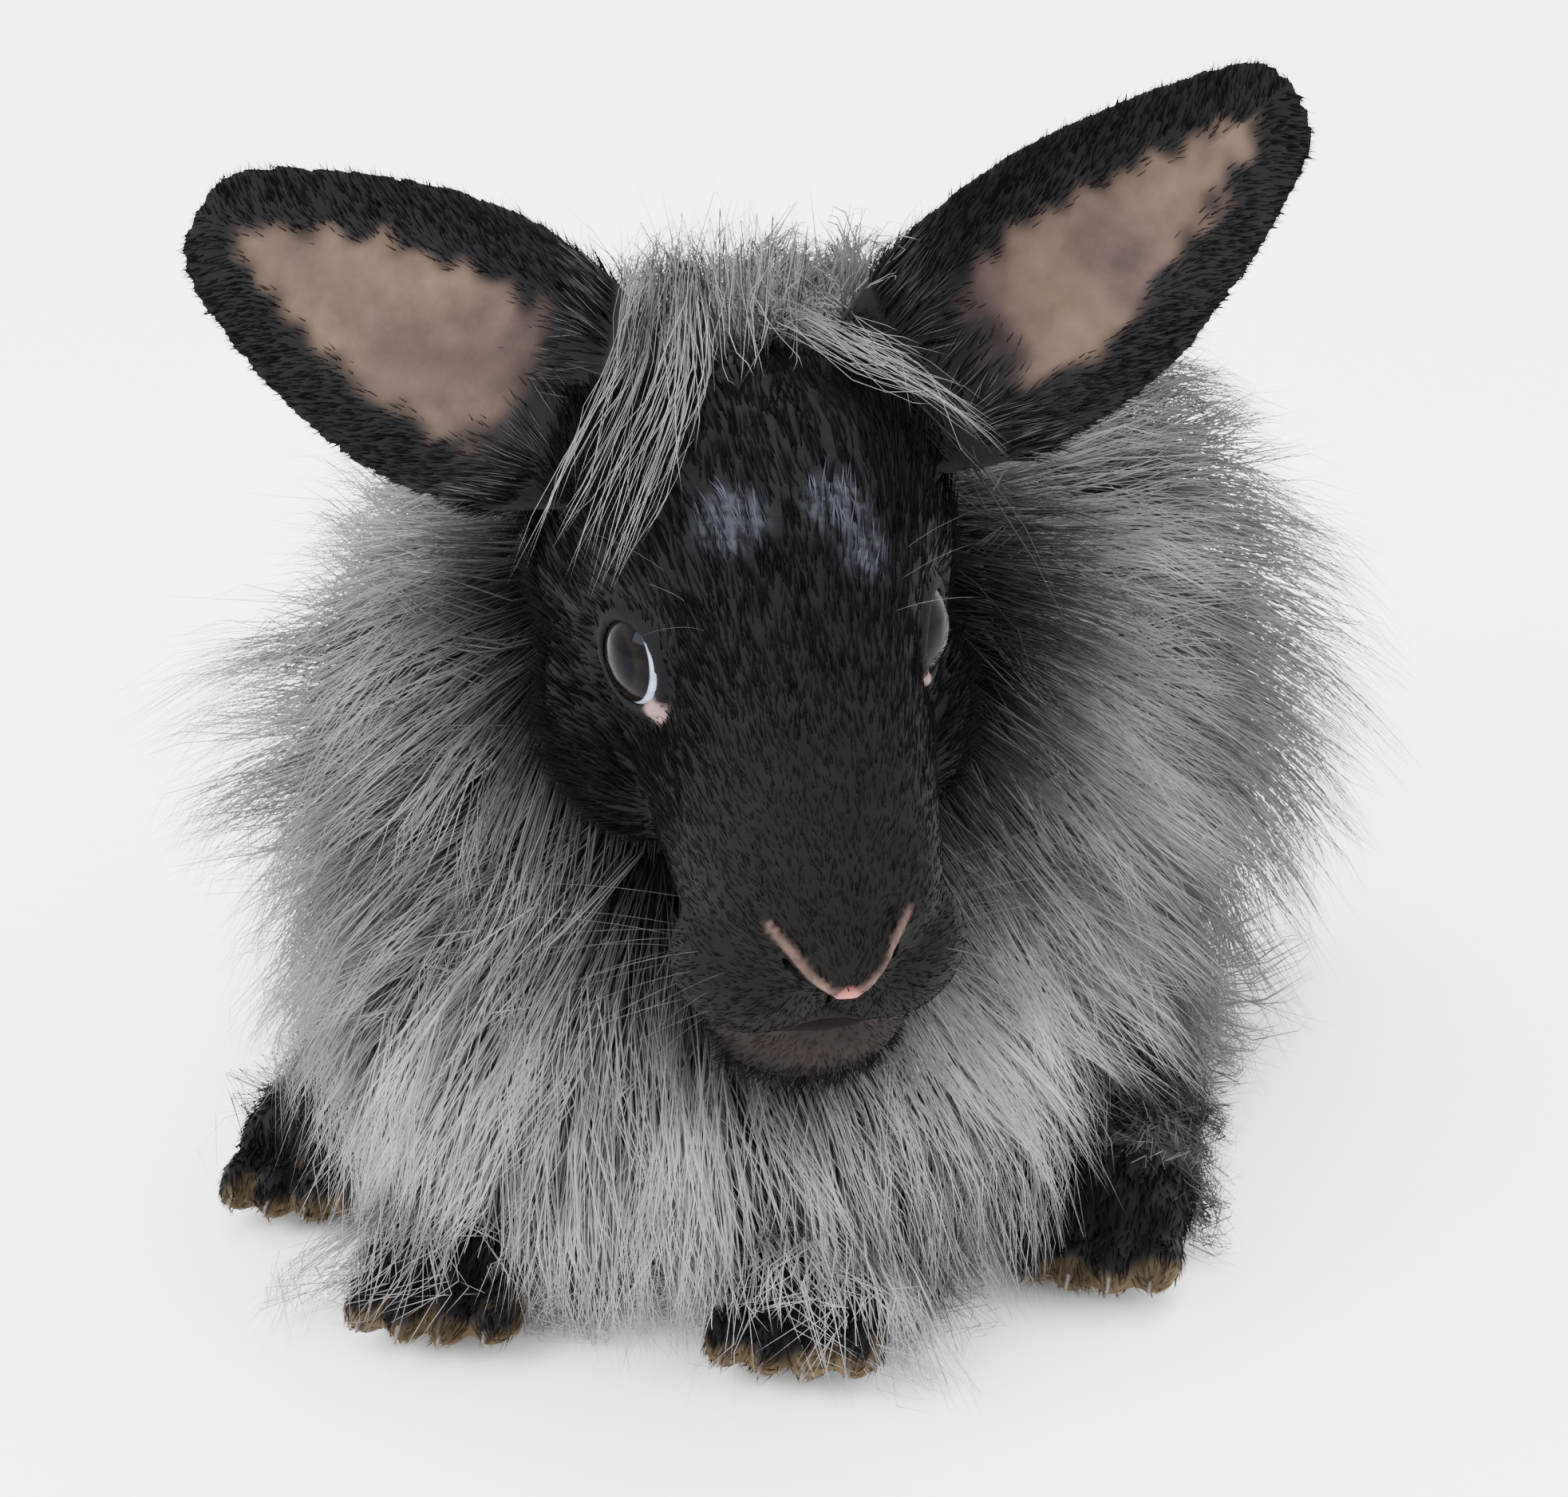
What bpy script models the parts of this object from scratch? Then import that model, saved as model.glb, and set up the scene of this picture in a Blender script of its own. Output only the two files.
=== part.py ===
# A long-haired domestic rabbit, life size, crouching with its head turned to its own left.
# Metres, +Z up. The body lies along Y with the nose towards -Y, and the animal's left is +X.
# Every foot stands on Z = 0, and the middle of the whole outline lies over the origin.
import math
import random

import bpy
import bmesh
from mathutils import Matrix, Vector

GAP = 0.0003          # air between solids that touch
CLEAR = 0.0005        # how much fatter a neighbour is when it cuts its own room
FLOOR_CLEAR = 0.0012  # lowest that any hair hangs over the floor
SEED = 7

# Head: its frame has its origin between the eyes, -Y to the nose and +Z out of the forehead.
HEAD_AT = Vector((0.0246, -0.0018, 0.1085))
HEAD_YAW, HEAD_PITCH, HEAD_ROLL = 26.8, 39.5, -2.0
HEAD_LENGTH = 0.090
EYE_FROM_NOSE = 0.046
HEAD_COAT = 0.0035
# share of the head's length from the nose: half width, top, bottom, level of the widest line
HEAD_STATIONS = (
    (0.00, 0.0080, -0.0035, -0.0140, -0.0085),
    (0.08, 0.0125, 0.0010, -0.0200, -0.0095),
    (0.18, 0.0152, 0.0060, -0.0265, -0.0105),
    (0.31, 0.0165, 0.0112, -0.0290, -0.0090),
    (0.44, 0.0192, 0.0155, -0.0300, -0.0075),
    (0.58, 0.0232, 0.0182, -0.0310, -0.0065),
    (0.71, 0.0258, 0.0182, -0.0300, -0.0055),
    (0.84, 0.0242, 0.0145, -0.0250, -0.0040),
    (1.00, 0.0175, 0.0070, -0.0150, -0.0025),
)
NOSE_ROUND, NAPE_ROUND = 0.10, 0.16

# Each a middle in the head's frame and the radii of an egg shape
PAD = (Vector((0.0078, -0.0360, -0.0162)), Vector((0.0118, 0.0105, 0.0116)))
CHEEK = (Vector((0.0175, 0.0020, -0.0178)), Vector((0.0125, 0.0200, 0.0125)))
CHIN = (Vector((0, -0.0378, -0.0295)), Vector((0.0138, 0.0100, 0.0090)))
NOSE = (Vector((0, -0.0428, -0.0060)), Vector((0.0068, 0.0053, 0.0048)))
MOUTH = (Vector((0, -0.0345, -0.0226)), Vector((0.0160, 0.0150, 0.0008)))
PHILTRUM = (Vector((0, -0.0462, -0.0150)), Vector((0.0006, 0.0050, 0.0062)))
NOSTRIL = (Vector((0.0036, -0.0472, -0.0078)), Vector((0.0017, 0.0030, 0.0010)))

# Eyes
EYE_RADIUS = 0.0080
EYE_SIDE = 0.0143
LID_OPEN = 51.0        # degrees from the eye's axis to the lid's edge
LID_TALL = 0.90        # height of the opening against its length
LID_THICK = 0.0014
LID_LEVEL, LID_REACH, LID_SLOPE = 0.0048, 0.0070, 0.55  # fur's height over the eye's centre, near and away from it

# Ears
EAR_ROOT = Vector((0.0165, 0.0270, 0.0125))
EAR_TIPS = {"left": Vector((0.0822, 0.0525, 0.1710)), "right": Vector((-0.0575, 0.0169, 0.1555))}
EAR_FACES = Vector((0.195, -0.919, 0.342))
EAR_HALF_WIDTHS = (
    (0.00, 0.0120), (0.17, 0.0172), (0.36, 0.0190), (0.50, 0.0182), (0.61, 0.0163),
    (0.70, 0.0145), (0.83, 0.0110), (0.92, 0.0078), (1.00, 0.0030),
)
EAR_CUPS = ((0.00, 0.0100), (0.25, 0.0105), (0.60, 0.0070), (0.85, 0.0035), (1.00, 0.0008))
EAR_UPPER = {"left": 0.70, "right": 0.86}   # the upper side's half width against the lower side's
EAR_THICK = 0.0026
EAR_CURL = 72.0        # degrees that each side of the ear turns towards its opening

# Neck, from inside the head to inside the chest
NECK_PATH = (Vector((0.0170, 0.0300, 0.1080)), Vector((0.0090, 0.0470, 0.0880)), Vector((0.0010, 0.0660, 0.0680)))
NECK_RADII = (0.0330, 0.0390, 0.0400)

# Torso: distance from the chest's front: half width, top, bottom, level of the widest line
TORSO_FRONT = 0.012
TORSO_LENGTH = 0.185
TORSO_STATIONS = (
    (0.00, 0.0260, 0.0740, 0.0300, 0.0520),
    (0.10, 0.0365, 0.0850, 0.0220, 0.0510),
    (0.25, 0.0425, 0.0940, 0.0185, 0.0500),
    (0.43, 0.0475, 0.1060, 0.0160, 0.0480),
    (0.60, 0.0540, 0.1120, 0.0150, 0.0460),
    (0.76, 0.0550, 0.1060, 0.0160, 0.0450),
    (0.89, 0.0450, 0.0870, 0.0210, 0.0460),
    (1.00, 0.0300, 0.0680, 0.0320, 0.0480),
)
TORSO_ROUND = 0.17
TORSO_CORE = 0.012     # the coat's dense part over the skin
THROAT = Vector((0.016, 0.004, 0.092))   # where the chest's hair parts from

# Locks of the coat: length, width and thickness of a middling one
MANE_LOCK = (0.045, 0.0180, 0.0040)
RUFF_LOCK = (0.048, 0.0190, 0.0040)
COAT_LOCK = (0.054, 0.0250, 0.0042)
FORELOCK = (0.033, 0.0075, 0.0024)
TAIL_LOCK = (0.024, 0.0150, 0.0034)
LOCK_SHAPE = (0.62, 1.0, 0.62)   # width along a lock, which then runs to a point
# each row: share of the body's length, number of locks, and the degrees round it that they cover
MANE_ROWS = ((0.03, 12, -75, 255), (0.28, 13, -62, 250), (0.52, 12, -40, 242))
RUFF_ROWS = ((0.010, 8, 110, 420), (0.06, 12, 130, 410), (0.16, 14, 130, 410))
COAT_ROWS = (
    (0.27, 9, -50, 230), (0.39, 10, -44, 224), (0.52, 11, -44, 224), (0.65, 11, -44, 224),
    (0.78, 11, -44, 224), (0.89, 9, -44, 224), (0.98, 6, -40, 220),
)
TAIL_ROWS = ((0.34, 8, 0, 360), (0.74, 7, 0, 360))
LENGTH_VARIES, TURN_VARIES = 0.22, 0.14
RUFF_LIFT = {1: 0.34, -1: 0.20}   # how far the chest's locks stand out on the left and on the right
HIP_ROWS, HIP_LIFT, HIP_TURN = (0.50, 0.80), 0.42, 0.15   # the left hip's locks stand further out

# Legs, each a run of (place, half width, half height) for the animal's left side
FORELEG = (
    (Vector((0.0300, 0.0560, 0.0480)), 0.0120, 0.0150),
    (Vector((0.0320, 0.0500, 0.0300)), 0.0100, 0.0115),
    (Vector((0.0275, 0.0330, 0.0130)), 0.0090, 0.0095),
    (Vector((0.0255, 0.0200, 0.0076)), 0.0115, 0.0085),
    (Vector((0.0250, 0.0085, 0.0068)), 0.0125, 0.0078),
)
HINDLEG_FOOT = (
    (Vector((0.0520, 0.1240, 0.0120)), 0.0090, 0.0110),
    (Vector((0.0545, 0.1080, 0.0094)), 0.0100, 0.0105),
    (Vector((0.0585, 0.0780, 0.0082)), 0.0110, 0.0092),
    (Vector((0.0605, 0.0550, 0.0075)), 0.0124, 0.0084),
    (Vector((0.0605, 0.0430, 0.0068)), 0.0122, 0.0076),
)
THIGH_AT, THIGH_RADII = Vector((0.0430, 0.1280, 0.0330)), Vector((0.0140, 0.0300, 0.0220))
RIGHT_FOOT_INSET = 0.0065   # the right hind foot is drawn in under the body
TOE_RADII = Vector((0.0036, 0.0075, 0.0042))
TOE_DROP = 0.0030      # how much lower a toe's middle lies than its foot's
CLAW_LENGTH, CLAW_RADIUS = 0.0065, 0.0011
TAIL_PATH = (Vector((0.0, 0.1980, 0.0560)), Vector((0.0, 0.2180, 0.0600)), Vector((0.0, 0.2290, 0.0700)))
TAIL_RADII = (0.0110, 0.0135, 0.0100)

# Colour, roughness
COATS = {
    "black_fur": ((0.030, 0.029, 0.031), 0.9),
    "grey_fur": ((0.30, 0.30, 0.31), 0.9),
    "foot_fur": ((0.070, 0.062, 0.058), 0.9),
    "eye": ((0.020, 0.018, 0.020), 0.08),
}


def through(keys, place, column=1):
    """A smooth curve through the keys, read at a place, with no overshoot between them."""
    last = len(keys) - 2
    i = max(0, min(last, sum(key[0] <= place for key in keys) - 1))

    def secant(k):
        return (keys[k + 1][column] - keys[k][column]) / (keys[k + 1][0] - keys[k][0])

    def slope(k):
        if k == 0 or k == len(keys) - 1:
            return secant(min(k, last))
        before, after = secant(k - 1), secant(k)
        return 0.0 if before * after <= 0 else 2 * before * after / (before + after)

    span = keys[i + 1][0] - keys[i][0]
    u = max(0.0, min(1.0, (place - keys[i][0]) / span))
    value = (2 * u ** 3 - 3 * u ** 2 + 1) * keys[i][column] + (3 * u ** 2 - 2 * u ** 3) * keys[i + 1][column]
    return value + span * ((u ** 3 - 2 * u ** 2 + u) * slope(i) + (u ** 3 - u ** 2) * slope(i + 1))


def rounded(share, length):
    """1 along a body, falling to 0 as a quarter circle over the last length before its end."""
    return math.sqrt(max(0.0, 1 - (1 - min(1.0, share / length)) ** 2))


def head_matrix():
    turn = Matrix.Rotation(math.radians(HEAD_YAW), 4, "Z")
    nod = Matrix.Rotation(math.radians(HEAD_PITCH), 4, "X")
    lean = Matrix.Rotation(math.radians(HEAD_ROLL), 4, "Y")
    return Matrix.Translation(HEAD_AT) @ turn @ nod @ lean


HEAD = head_matrix()


def oval(angle, half_width, top, bottom, level, power=0.92):
    """A point on an egg-shaped ring: angle 0 is the animal's left and 90 degrees its top."""
    across, up = math.cos(angle), math.sin(angle)
    reach = (top - level) if up > 0 else (level - bottom)
    return (
        math.copysign(half_width * abs(across) ** power, across),
        level + math.copysign(reach * abs(up) ** power, up),
    )


def stationed(stations, share, close, grow):
    """Half width, top, bottom and widest level at a share of the length, drawn in by close at a rounded end."""
    half_width, top, bottom, level = (through(stations, share, column) for column in (1, 2, 3, 4))
    return (
        (half_width + grow) * close,
        level + (top - level + grow) * close,
        level - (level - bottom + grow) * close,
        level,
    )


def head_point(share, angle, grow=0.0):
    close = rounded(share, NOSE_ROUND) * rounded(1 - share, NAPE_ROUND)
    coat = HEAD_COAT * min(1.0, 0.25 + 1.4 * share)
    x, z = oval(angle, *stationed(HEAD_STATIONS, share, close, grow + coat))
    y = share * HEAD_LENGTH - EYE_FROM_NOSE + grow * (2 * share - 1)
    point = Vector((x, y, z))
    # The short fur round an eye lies lower than the cheek's, down to the lid.
    axis = eye_axis(math.copysign(1, x))
    from_eye = point - Vector((math.copysign(EYE_SIDE, x), 0, 0))
    high = from_eye.dot(axis)
    aside = (from_eye - axis * high).length
    lid = LID_LEVEL + max(0.0, aside - LID_REACH) * LID_SLOPE + grow
    if high > lid:
        point -= axis * (high - lid)
    return HEAD @ point


def torso_point(share, angle, grow=0.0):
    close = rounded(share, TORSO_ROUND) * rounded(1 - share, TORSO_ROUND)
    x, z = oval(angle, *stationed(TORSO_STATIONS, share, close, grow))
    return Vector((x, TORSO_FRONT + share * TORSO_LENGTH + grow * (2 * share - 1), z))


def mesh_object(name, points, faces):
    mesh = bpy.data.meshes.new(name)
    mesh.from_pydata([tuple(point) for point in points], [], faces)
    mesh.update()
    made = bpy.data.objects.new(name, mesh)
    bpy.context.scene.collection.objects.link(made)
    return made


def face_outwards(made):
    """Turns every face of a closed mesh to point out of it."""
    shape = bmesh.new()
    shape.from_mesh(made.data)
    bmesh.ops.recalc_face_normals(shape, faces=shape.faces)
    if shape.calc_volume(signed=True) < 0:
        bmesh.ops.reverse_faces(shape, faces=shape.faces)
    shape.to_mesh(made.data)
    shape.free()
    return made


def stacked(name, rings):
    """One closed solid from a stack of equal rings, with a point in the middle of each end."""
    around = len(rings[0])
    points = [point for ring in rings for point in ring]
    faces = []
    for row in range(len(rings) - 1):
        for i in range(around):
            here, beside = row * around + i, row * around + (i + 1) % around
            faces.append((here, beside, beside + around, here + around))
    for start, ring in ((0, rings[0]), ((len(rings) - 1) * around, rings[-1])):
        middle = len(points)
        points.append(sum(ring, Vector()) / around)
        faces += [(middle, start + (i + 1) % around, start + i) for i in range(around)]
    return face_outwards(mesh_object(name, points, faces))


def spaced(count, ease=0.5):
    """Shares from 0 to 1, closer together near both ends, where a rounded end turns fast."""
    shares = []
    for i in range(count):
        even = i / (count - 1)
        shares.append((1 - ease) * even + ease * (0.5 - 0.5 * math.cos(math.pi * even)))
    return shares


def shell_of(name, point_at, along, around, grow, ends=0.004):
    """A closed solid of a body that point_at(share, angle, grow) describes."""
    shares = [ends + (1 - 2 * ends) * share for share in spaced(along, 0.8)]
    turns = [2 * math.pi * i / around for i in range(around)]
    return stacked(name, [[point_at(share, turn, grow) for turn in turns] for share in shares])


def limb(name, stations, around, grow=0.0, steps=3):
    """A closed solid along a smooth run of (place, half width, half height)."""
    keys = [(i, *place, wide, high) for i, (place, wide, high) in enumerate(stations)]
    count = (len(keys) - 1) * steps
    places = [[through(keys, i / steps, column) for column in range(1, 6)] for i in range(count + 1)]
    rings = []
    for i, (x, y, z, wide, high) in enumerate(places):
        ahead, behind = places[min(i + 1, count)], places[max(i - 1, 0)]
        lie = Vector([ahead[k] - behind[k] for k in range(3)]).normalized()
        side = lie.cross(Vector((0, 0, 1))).normalized()
        up = side.cross(lie)
        draw = 0.72 if i in (0, count) else 1.0
        push = lie * grow * ((i == count) - (i == 0))
        rings.append([
            Vector((x, y, z)) + push + side * math.cos(turn) * (wide * draw + grow)
            + up * math.sin(turn) * (high * draw + grow)
            for turn in [2 * math.pi * k / around for k in range(around)]
        ])
    return stacked(name, rings)


def ball(name, place, radii, rows=7, around=10, grow=0.0, turn=Matrix.Identity(3)):
    """A closed ball or egg with its poles along its own Y."""
    rings = []
    for row in range(1, rows):
        polar = math.pi * row / rows
        flat = math.sin(polar)
        rings.append([
            place + turn @ Vector((
                (radii[0] + grow) * flat * math.cos(2 * math.pi * i / around),
                -(radii[1] + grow) * math.cos(polar),
                (radii[2] + grow) * flat * math.sin(2 * math.pi * i / around),
            ))
            for i in range(around)
        ])
    made = stacked(name, rings)
    for vertex, end in ((len(made.data.vertices) - 2, -1), (len(made.data.vertices) - 1, 1)):
        made.data.vertices[vertex].co = place + turn @ Vector((0, end * (radii[1] + grow), 0))
    return made


def lock(root, lie, away, size, lift, bend, grow=0.0):
    """A flat tapered lock of hair: it leaves root along lie, raised by lift, and bend turns it on its way."""
    length, width, thick = size
    heading = (lie + away * lift).normalized()
    place = root - heading * length * 0.14 - away * thick * 1.2
    step = length * 1.14 / len(LOCK_SHAPE)
    built = []
    for i, share in enumerate(LOCK_SHAPE):
        side = heading.cross(away).normalized()
        up = side.cross(heading).normalized()
        half, tall = width / 2 * share + grow * 4, thick * share + grow
        section = [place + side * half - up * grow, place + up * tall, place - side * half - up * grow]
        for corner in section:
            corner.z = max(corner.z, FLOOR_CLEAR - grow)
        built.append(section)
        heading = (heading + bend * (i + 1) / len(LOCK_SHAPE)).normalized()
        if place.z + heading.z * step < FLOOR_CLEAR:
            heading.z = (FLOOR_CLEAR - place.z) / step
        place = place + heading * step
    made = stacked("lock", built)
    made.data.vertices[len(made.data.vertices) - 1].co = place + heading * grow * 2
    return made


def varied(size):
    """A lock's size with its length and width drawn at random about the middling one."""
    length, width, thick = size
    spread = random.uniform(-LENGTH_VARIES, LENGTH_VARIES)
    return length * (1 + spread), width * (1 - spread * 0.6), thick


def boolean(target, operation, others, solver):
    """Applies one Boolean of a collection of closed meshes to the target, and removes them."""
    group = bpy.data.collections.new("pieces")
    bpy.context.scene.collection.children.link(group)
    for other in others:
        group.objects.link(other)
    modifier = target.modifiers.new(operation, "BOOLEAN")
    modifier.operation = operation
    modifier.operand_type = "COLLECTION"
    modifier.collection = group
    modifier.solver = solver
    bpy.context.view_layer.update()
    graph = bpy.context.evaluated_depsgraph_get()
    result = bpy.data.meshes.new_from_object(target.evaluated_get(graph))
    target.modifiers.clear()
    target.data = result
    for other in others:
        bpy.data.objects.remove(other)
    bpy.data.collections.remove(group)
    return target


def keep_largest(made):
    """Leaves only the largest closed surface of a mesh."""
    shape = bmesh.new()
    shape.from_mesh(made.data)
    bmesh.ops.triangulate(shape, faces=shape.faces)
    left = set(shape.faces)
    bodies = []
    while left:
        reached, edge = set(), [left.pop()]
        while edge:
            face = edge.pop()
            reached.add(face)
            for side in face.edges:
                for other in side.link_faces:
                    if other in left:
                        left.discard(other)
                        edge.append(other)
        bodies.append(reached)

    def volume(faces):
        return abs(sum(f.verts[0].co.dot(f.verts[1].co.cross(f.verts[2].co)) for f in faces))

    bodies.sort(key=volume)
    bmesh.ops.delete(shape, geom=[face for body in bodies[:-1] for face in body], context="FACES")
    shape.to_mesh(made.data)
    shape.free()
    return made


def fused(name, pieces, solver="MANIFOLD"):
    first, others = pieces[0], pieces[1:]
    if others:
        boolean(first, "UNION", others, solver)
    first.name = name
    return keep_largest(first)


def less(made, cutters, solver="MANIFOLD"):
    boolean(made, "DIFFERENCE", cutters, solver)
    return keep_largest(made)


def finish(made, coat):
    """Gives a node its material and soft shading."""
    colour, roughness = COATS[coat]
    finish_of = bpy.data.materials.get(coat) or bpy.data.materials.new(coat)
    finish_of.use_nodes = True
    shader = finish_of.node_tree.nodes["Principled BSDF"]
    shader.inputs["Base Color"].default_value = (*colour, 1.0)
    shader.inputs["Roughness"].default_value = roughness
    finish_of.diffuse_color = (*colour, 1.0)
    made.data.materials.clear()
    made.data.materials.append(finish_of)
    made.data.shade_smooth()
    made.data.set_sharp_from_angle(angle=math.radians(50))


# Eyes and lids

def eye_axis(side):
    """Which way an eye looks, in the head's frame."""
    return Vector((0.90 * side, -0.37, 0.25)).normalized()


def eye_place(side):
    return HEAD @ Vector((EYE_SIDE * side, 0.0, 0.0))


def eyeball(name, side, grow=0.0):
    radius = Vector((EYE_RADIUS,) * 3)
    turn = (HEAD.to_3x3() @ eye_axis(side)).to_track_quat("Y", "Z").to_matrix()
    return ball(name, eye_place(side), radius, 9, 12, grow, turn)


def lids(side):
    """A closed almond ring of lid round the eye's opening."""
    axis = HEAD.to_3x3() @ eye_axis(side)
    forward = HEAD.to_3x3() @ Vector((0, -1, -0.12))
    long_way = (forward - axis * forward.dot(axis)).normalized()
    high_way = axis.cross(long_way)
    rings, around, across = [], 18, 6
    for i in range(around):
        turn = 2 * math.pi * i / around
        opening = math.radians(LID_OPEN)
        reach = EYE_RADIUS + LID_THICK * 0.35
        spread = long_way * math.cos(turn) + high_way * math.sin(turn) * LID_TALL
        middle = eye_place(side) + axis * reach * math.cos(opening) + spread * reach * math.sin(opening)
        out = (middle - eye_place(side)).normalized()
        along = (high_way * math.cos(turn) * LID_TALL - long_way * math.sin(turn)).normalized()
        wide = along.cross(out).normalized()
        rings.append([
            middle + (out * math.cos(a) * 0.8 + wide * math.sin(a) * 1.3) * LID_THICK
            for a in [2 * math.pi * k / across for k in range(across)]
        ])
    points = [point for ring in rings for point in ring]
    faces = []
    for i in range(around):
        for k in range(across):
            j, m = (i + 1) % around, (k + 1) % across
            faces.append((i * across + k, i * across + m, j * across + m, j * across + k))
    return face_outwards(mesh_object("lids", points, faces))


# Ears

def ear_frame(side_name):
    side = 1 if side_name == "left" else -1
    root = HEAD @ Vector((EAR_ROOT.x * side, EAR_ROOT.y, EAR_ROOT.z))
    reach = EAR_TIPS[side_name] - root
    length = reach.length
    along = reach / length
    faces_to = (EAR_FACES - along * EAR_FACES.dot(along)).normalized()
    over = along.cross(faces_to)
    upper = (1.0, EAR_UPPER[side_name]) if over.z > 0 else (EAR_UPPER[side_name], 1.0)
    return root, along, faces_to, over, length, upper


def ear_point(frame, share, across, depth):
    """A point on the ear: across runs from -1 to 1 between its edges, and depth is from the inner face back."""
    root, along, faces_to, over, length, sides = frame
    curl = math.radians(EAR_CURL)
    half = through(EAR_HALF_WIDTHS, share) * sides[across > 0]
    cup = through(EAR_CUPS, share)
    turn = across * curl
    side = math.sin(turn) / math.sin(curl)
    rise = (1 - math.cos(turn)) / (1 - math.cos(curl))
    inwards = Vector((-side * half * 0.9, cup * 1.4 * math.cos(turn))).normalized()
    x = side * half - inwards.x * depth
    y = cup * (rise - 0.55) - inwards.y * depth
    return root + along * length * share + over * x + faces_to * y


def ear(name, side_name, along=10, across=9, grow=0.0):
    frame = ear_frame(side_name)
    shares = [(i / along) ** 0.9 for i in range(along + 1)]
    qs = [-1 + 2 * k / across for k in range(across + 1)]
    rings = []
    for share in shares:
        thick = EAR_THICK * (1.0 - 0.25 * share)
        stretched = share + grow * (2 * share - 1) * 8
        front = [ear_point(frame, stretched, q * (1 + grow * 30), -grow) for q in qs]
        back = [ear_point(frame, stretched, q * (1 + grow * 30), thick + grow) for q in reversed(qs)]
        rings.append(front + back)
    return stacked(name, rings)


# Head

def head_pieces(grow=0.0):
    pieces = [shell_of("skull", head_point, 19, 22, grow)]
    for side in (1, -1):
        pieces.append(head_ball("pad", PAD, side, 8, 12, grow))
        pieces.append(head_ball("cheek", CHEEK, side, 6, 10, grow))
    pieces.append(head_ball("chin", CHIN, 1, 8, 12, grow))
    pieces.append(head_ball("nose", NOSE, 1, 8, 12, grow))
    return pieces + forelock(grow)


def head_ball(name, described, side, rows, around, grow=0.0):
    place, radii = described
    middle = HEAD @ Vector((place.x * side, place.y, place.z))
    return ball(name, middle, radii, rows, around, grow, HEAD.to_3x3())


def make_head():
    head = fused("head", head_pieces() + [lids(1), lids(-1)])
    less(head, [eyeball("socket", side, CLEAR) for side in (1, -1)])
    less(head, [head_ball("mouth", MOUTH, 1, 8, 18)])
    less(head, [head_ball("philtrum", PHILTRUM, 1, 8, 8)])
    return less(head, [head_ball("nostril", NOSTRIL, side, 8, 8) for side in (1, -1)])


# Legs

def mirrored(stations, side, inset=0.0):
    return [(Vector(((place.x - inset) * side, place.y, place.z)), wide, high) for place, wide, high in stations]


def toes(foot, grow):
    """Four toes fanned across the front of a foot."""
    foot_end, half_width, _ = foot[-1]
    pieces = []
    for k in range(4):
        offset = (k - 1.5) / 1.5
        place = Vector((
            foot_end.x + offset * (half_width - TOE_RADII.x),
            foot_end.y - 0.0035 + abs(offset) * 0.0022,
            foot_end.z - TOE_DROP,
        ))
        pieces.append(ball("toe", place, TOE_RADII, 5, 7, grow))
        if grow == 0.0:
            pieces.append(claw(place))
    return pieces


def on_floor(made):
    """Cuts a foot flat at the floor."""
    corners = [Vector((x, y, z)) for z in (-0.2, 0.0) for x, y in ((-0.3, -0.2), (0.3, -0.2), (0.3, 0.5), (-0.3, 0.5))]
    return less(made, [stacked("under_floor", [corners[:4], corners[4:]])])


def claw(toe):
    """A short curved claw that stands out of a toe's end."""
    built = []
    for i in range(3):
        along = i / 2
        middle = toe + Vector((0, -TOE_RADII.y * 0.72 - CLAW_LENGTH * 0.75 * along, -0.0006 - 0.0010 * along ** 2))
        radius = CLAW_RADIUS * (1 - 0.55 * along)
        built.append([
            middle + Vector((math.cos(turn), 0, math.sin(turn))) * radius
            for turn in [2 * math.pi * k / 4 for k in range(4)]
        ])
    made = stacked("claw", built)
    made.data.vertices[len(made.data.vertices) - 1].co += Vector((0, -CLAW_LENGTH * 0.25, -0.0006))
    return made


def foreleg_pieces(side, grow=0.0):
    leg = mirrored(FORELEG, side)
    return [limb("foreleg", leg, 10, grow)] + toes(leg, grow)


def hindleg_pieces(side, grow=0.0):
    thigh = ball("thigh", Vector((THIGH_AT.x * side, THIGH_AT.y, THIGH_AT.z)), THIGH_RADII, 7, 10, grow)
    foot = mirrored(HINDLEG_FOOT, side, RIGHT_FOOT_INSET if side < 0 else 0.0)
    return [thigh, limb("foot", foot, 10, grow, 2)] + toes(foot, grow)


# Neck, torso and tail

def neck_core(grow=0.0):
    stations = [(place, radius, radius) for place, radius in zip(NECK_PATH, NECK_RADII)]
    return limb("neck", stations, 16, grow, 3)


def torso_core(grow=0.0):
    return shell_of("torso", torso_point, 15, 18, grow + TORSO_CORE)


def tail_core(grow=0.0):
    return limb("tail", [(place, radius, radius) for place, radius in zip(TAIL_PATH, TAIL_RADII)], 12, grow)


DOWN = Vector((0, 0, -1))


def around_row(row, rows):
    """The turns, in radians, at which one staggered row's locks stand."""
    share, count, start, end = rows[row]
    for k in range(count):
        step = (k + 0.25 + 0.5 * (row % 2) + random.uniform(-TURN_VARIES, TURN_VARIES)) / count
        yield share, math.radians(start + (end - start) * step)


def on_path(path, radii, share, turn):
    """A point on a neck or a tail, the way it runs there, and the way out: turn 0 is the animal's left."""
    keys = [(i / 2, *place, radius) for i, (place, radius) in enumerate(zip(path, radii))]

    def middle(at):
        return Vector([through(keys, at, column) for column in (1, 2, 3)])

    axis = (middle(min(1.0, share + 0.25)) - middle(max(0.0, share - 0.25))).normalized()
    up = axis.cross(Vector((1, 0, 0))).normalized()
    up = up if up.z > 0 else -up
    away = (Vector((1, 0, 0)) * math.cos(turn) + up * math.sin(turn)).normalized()
    return middle(share) + away * through(keys, share, 4), axis, away


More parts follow.
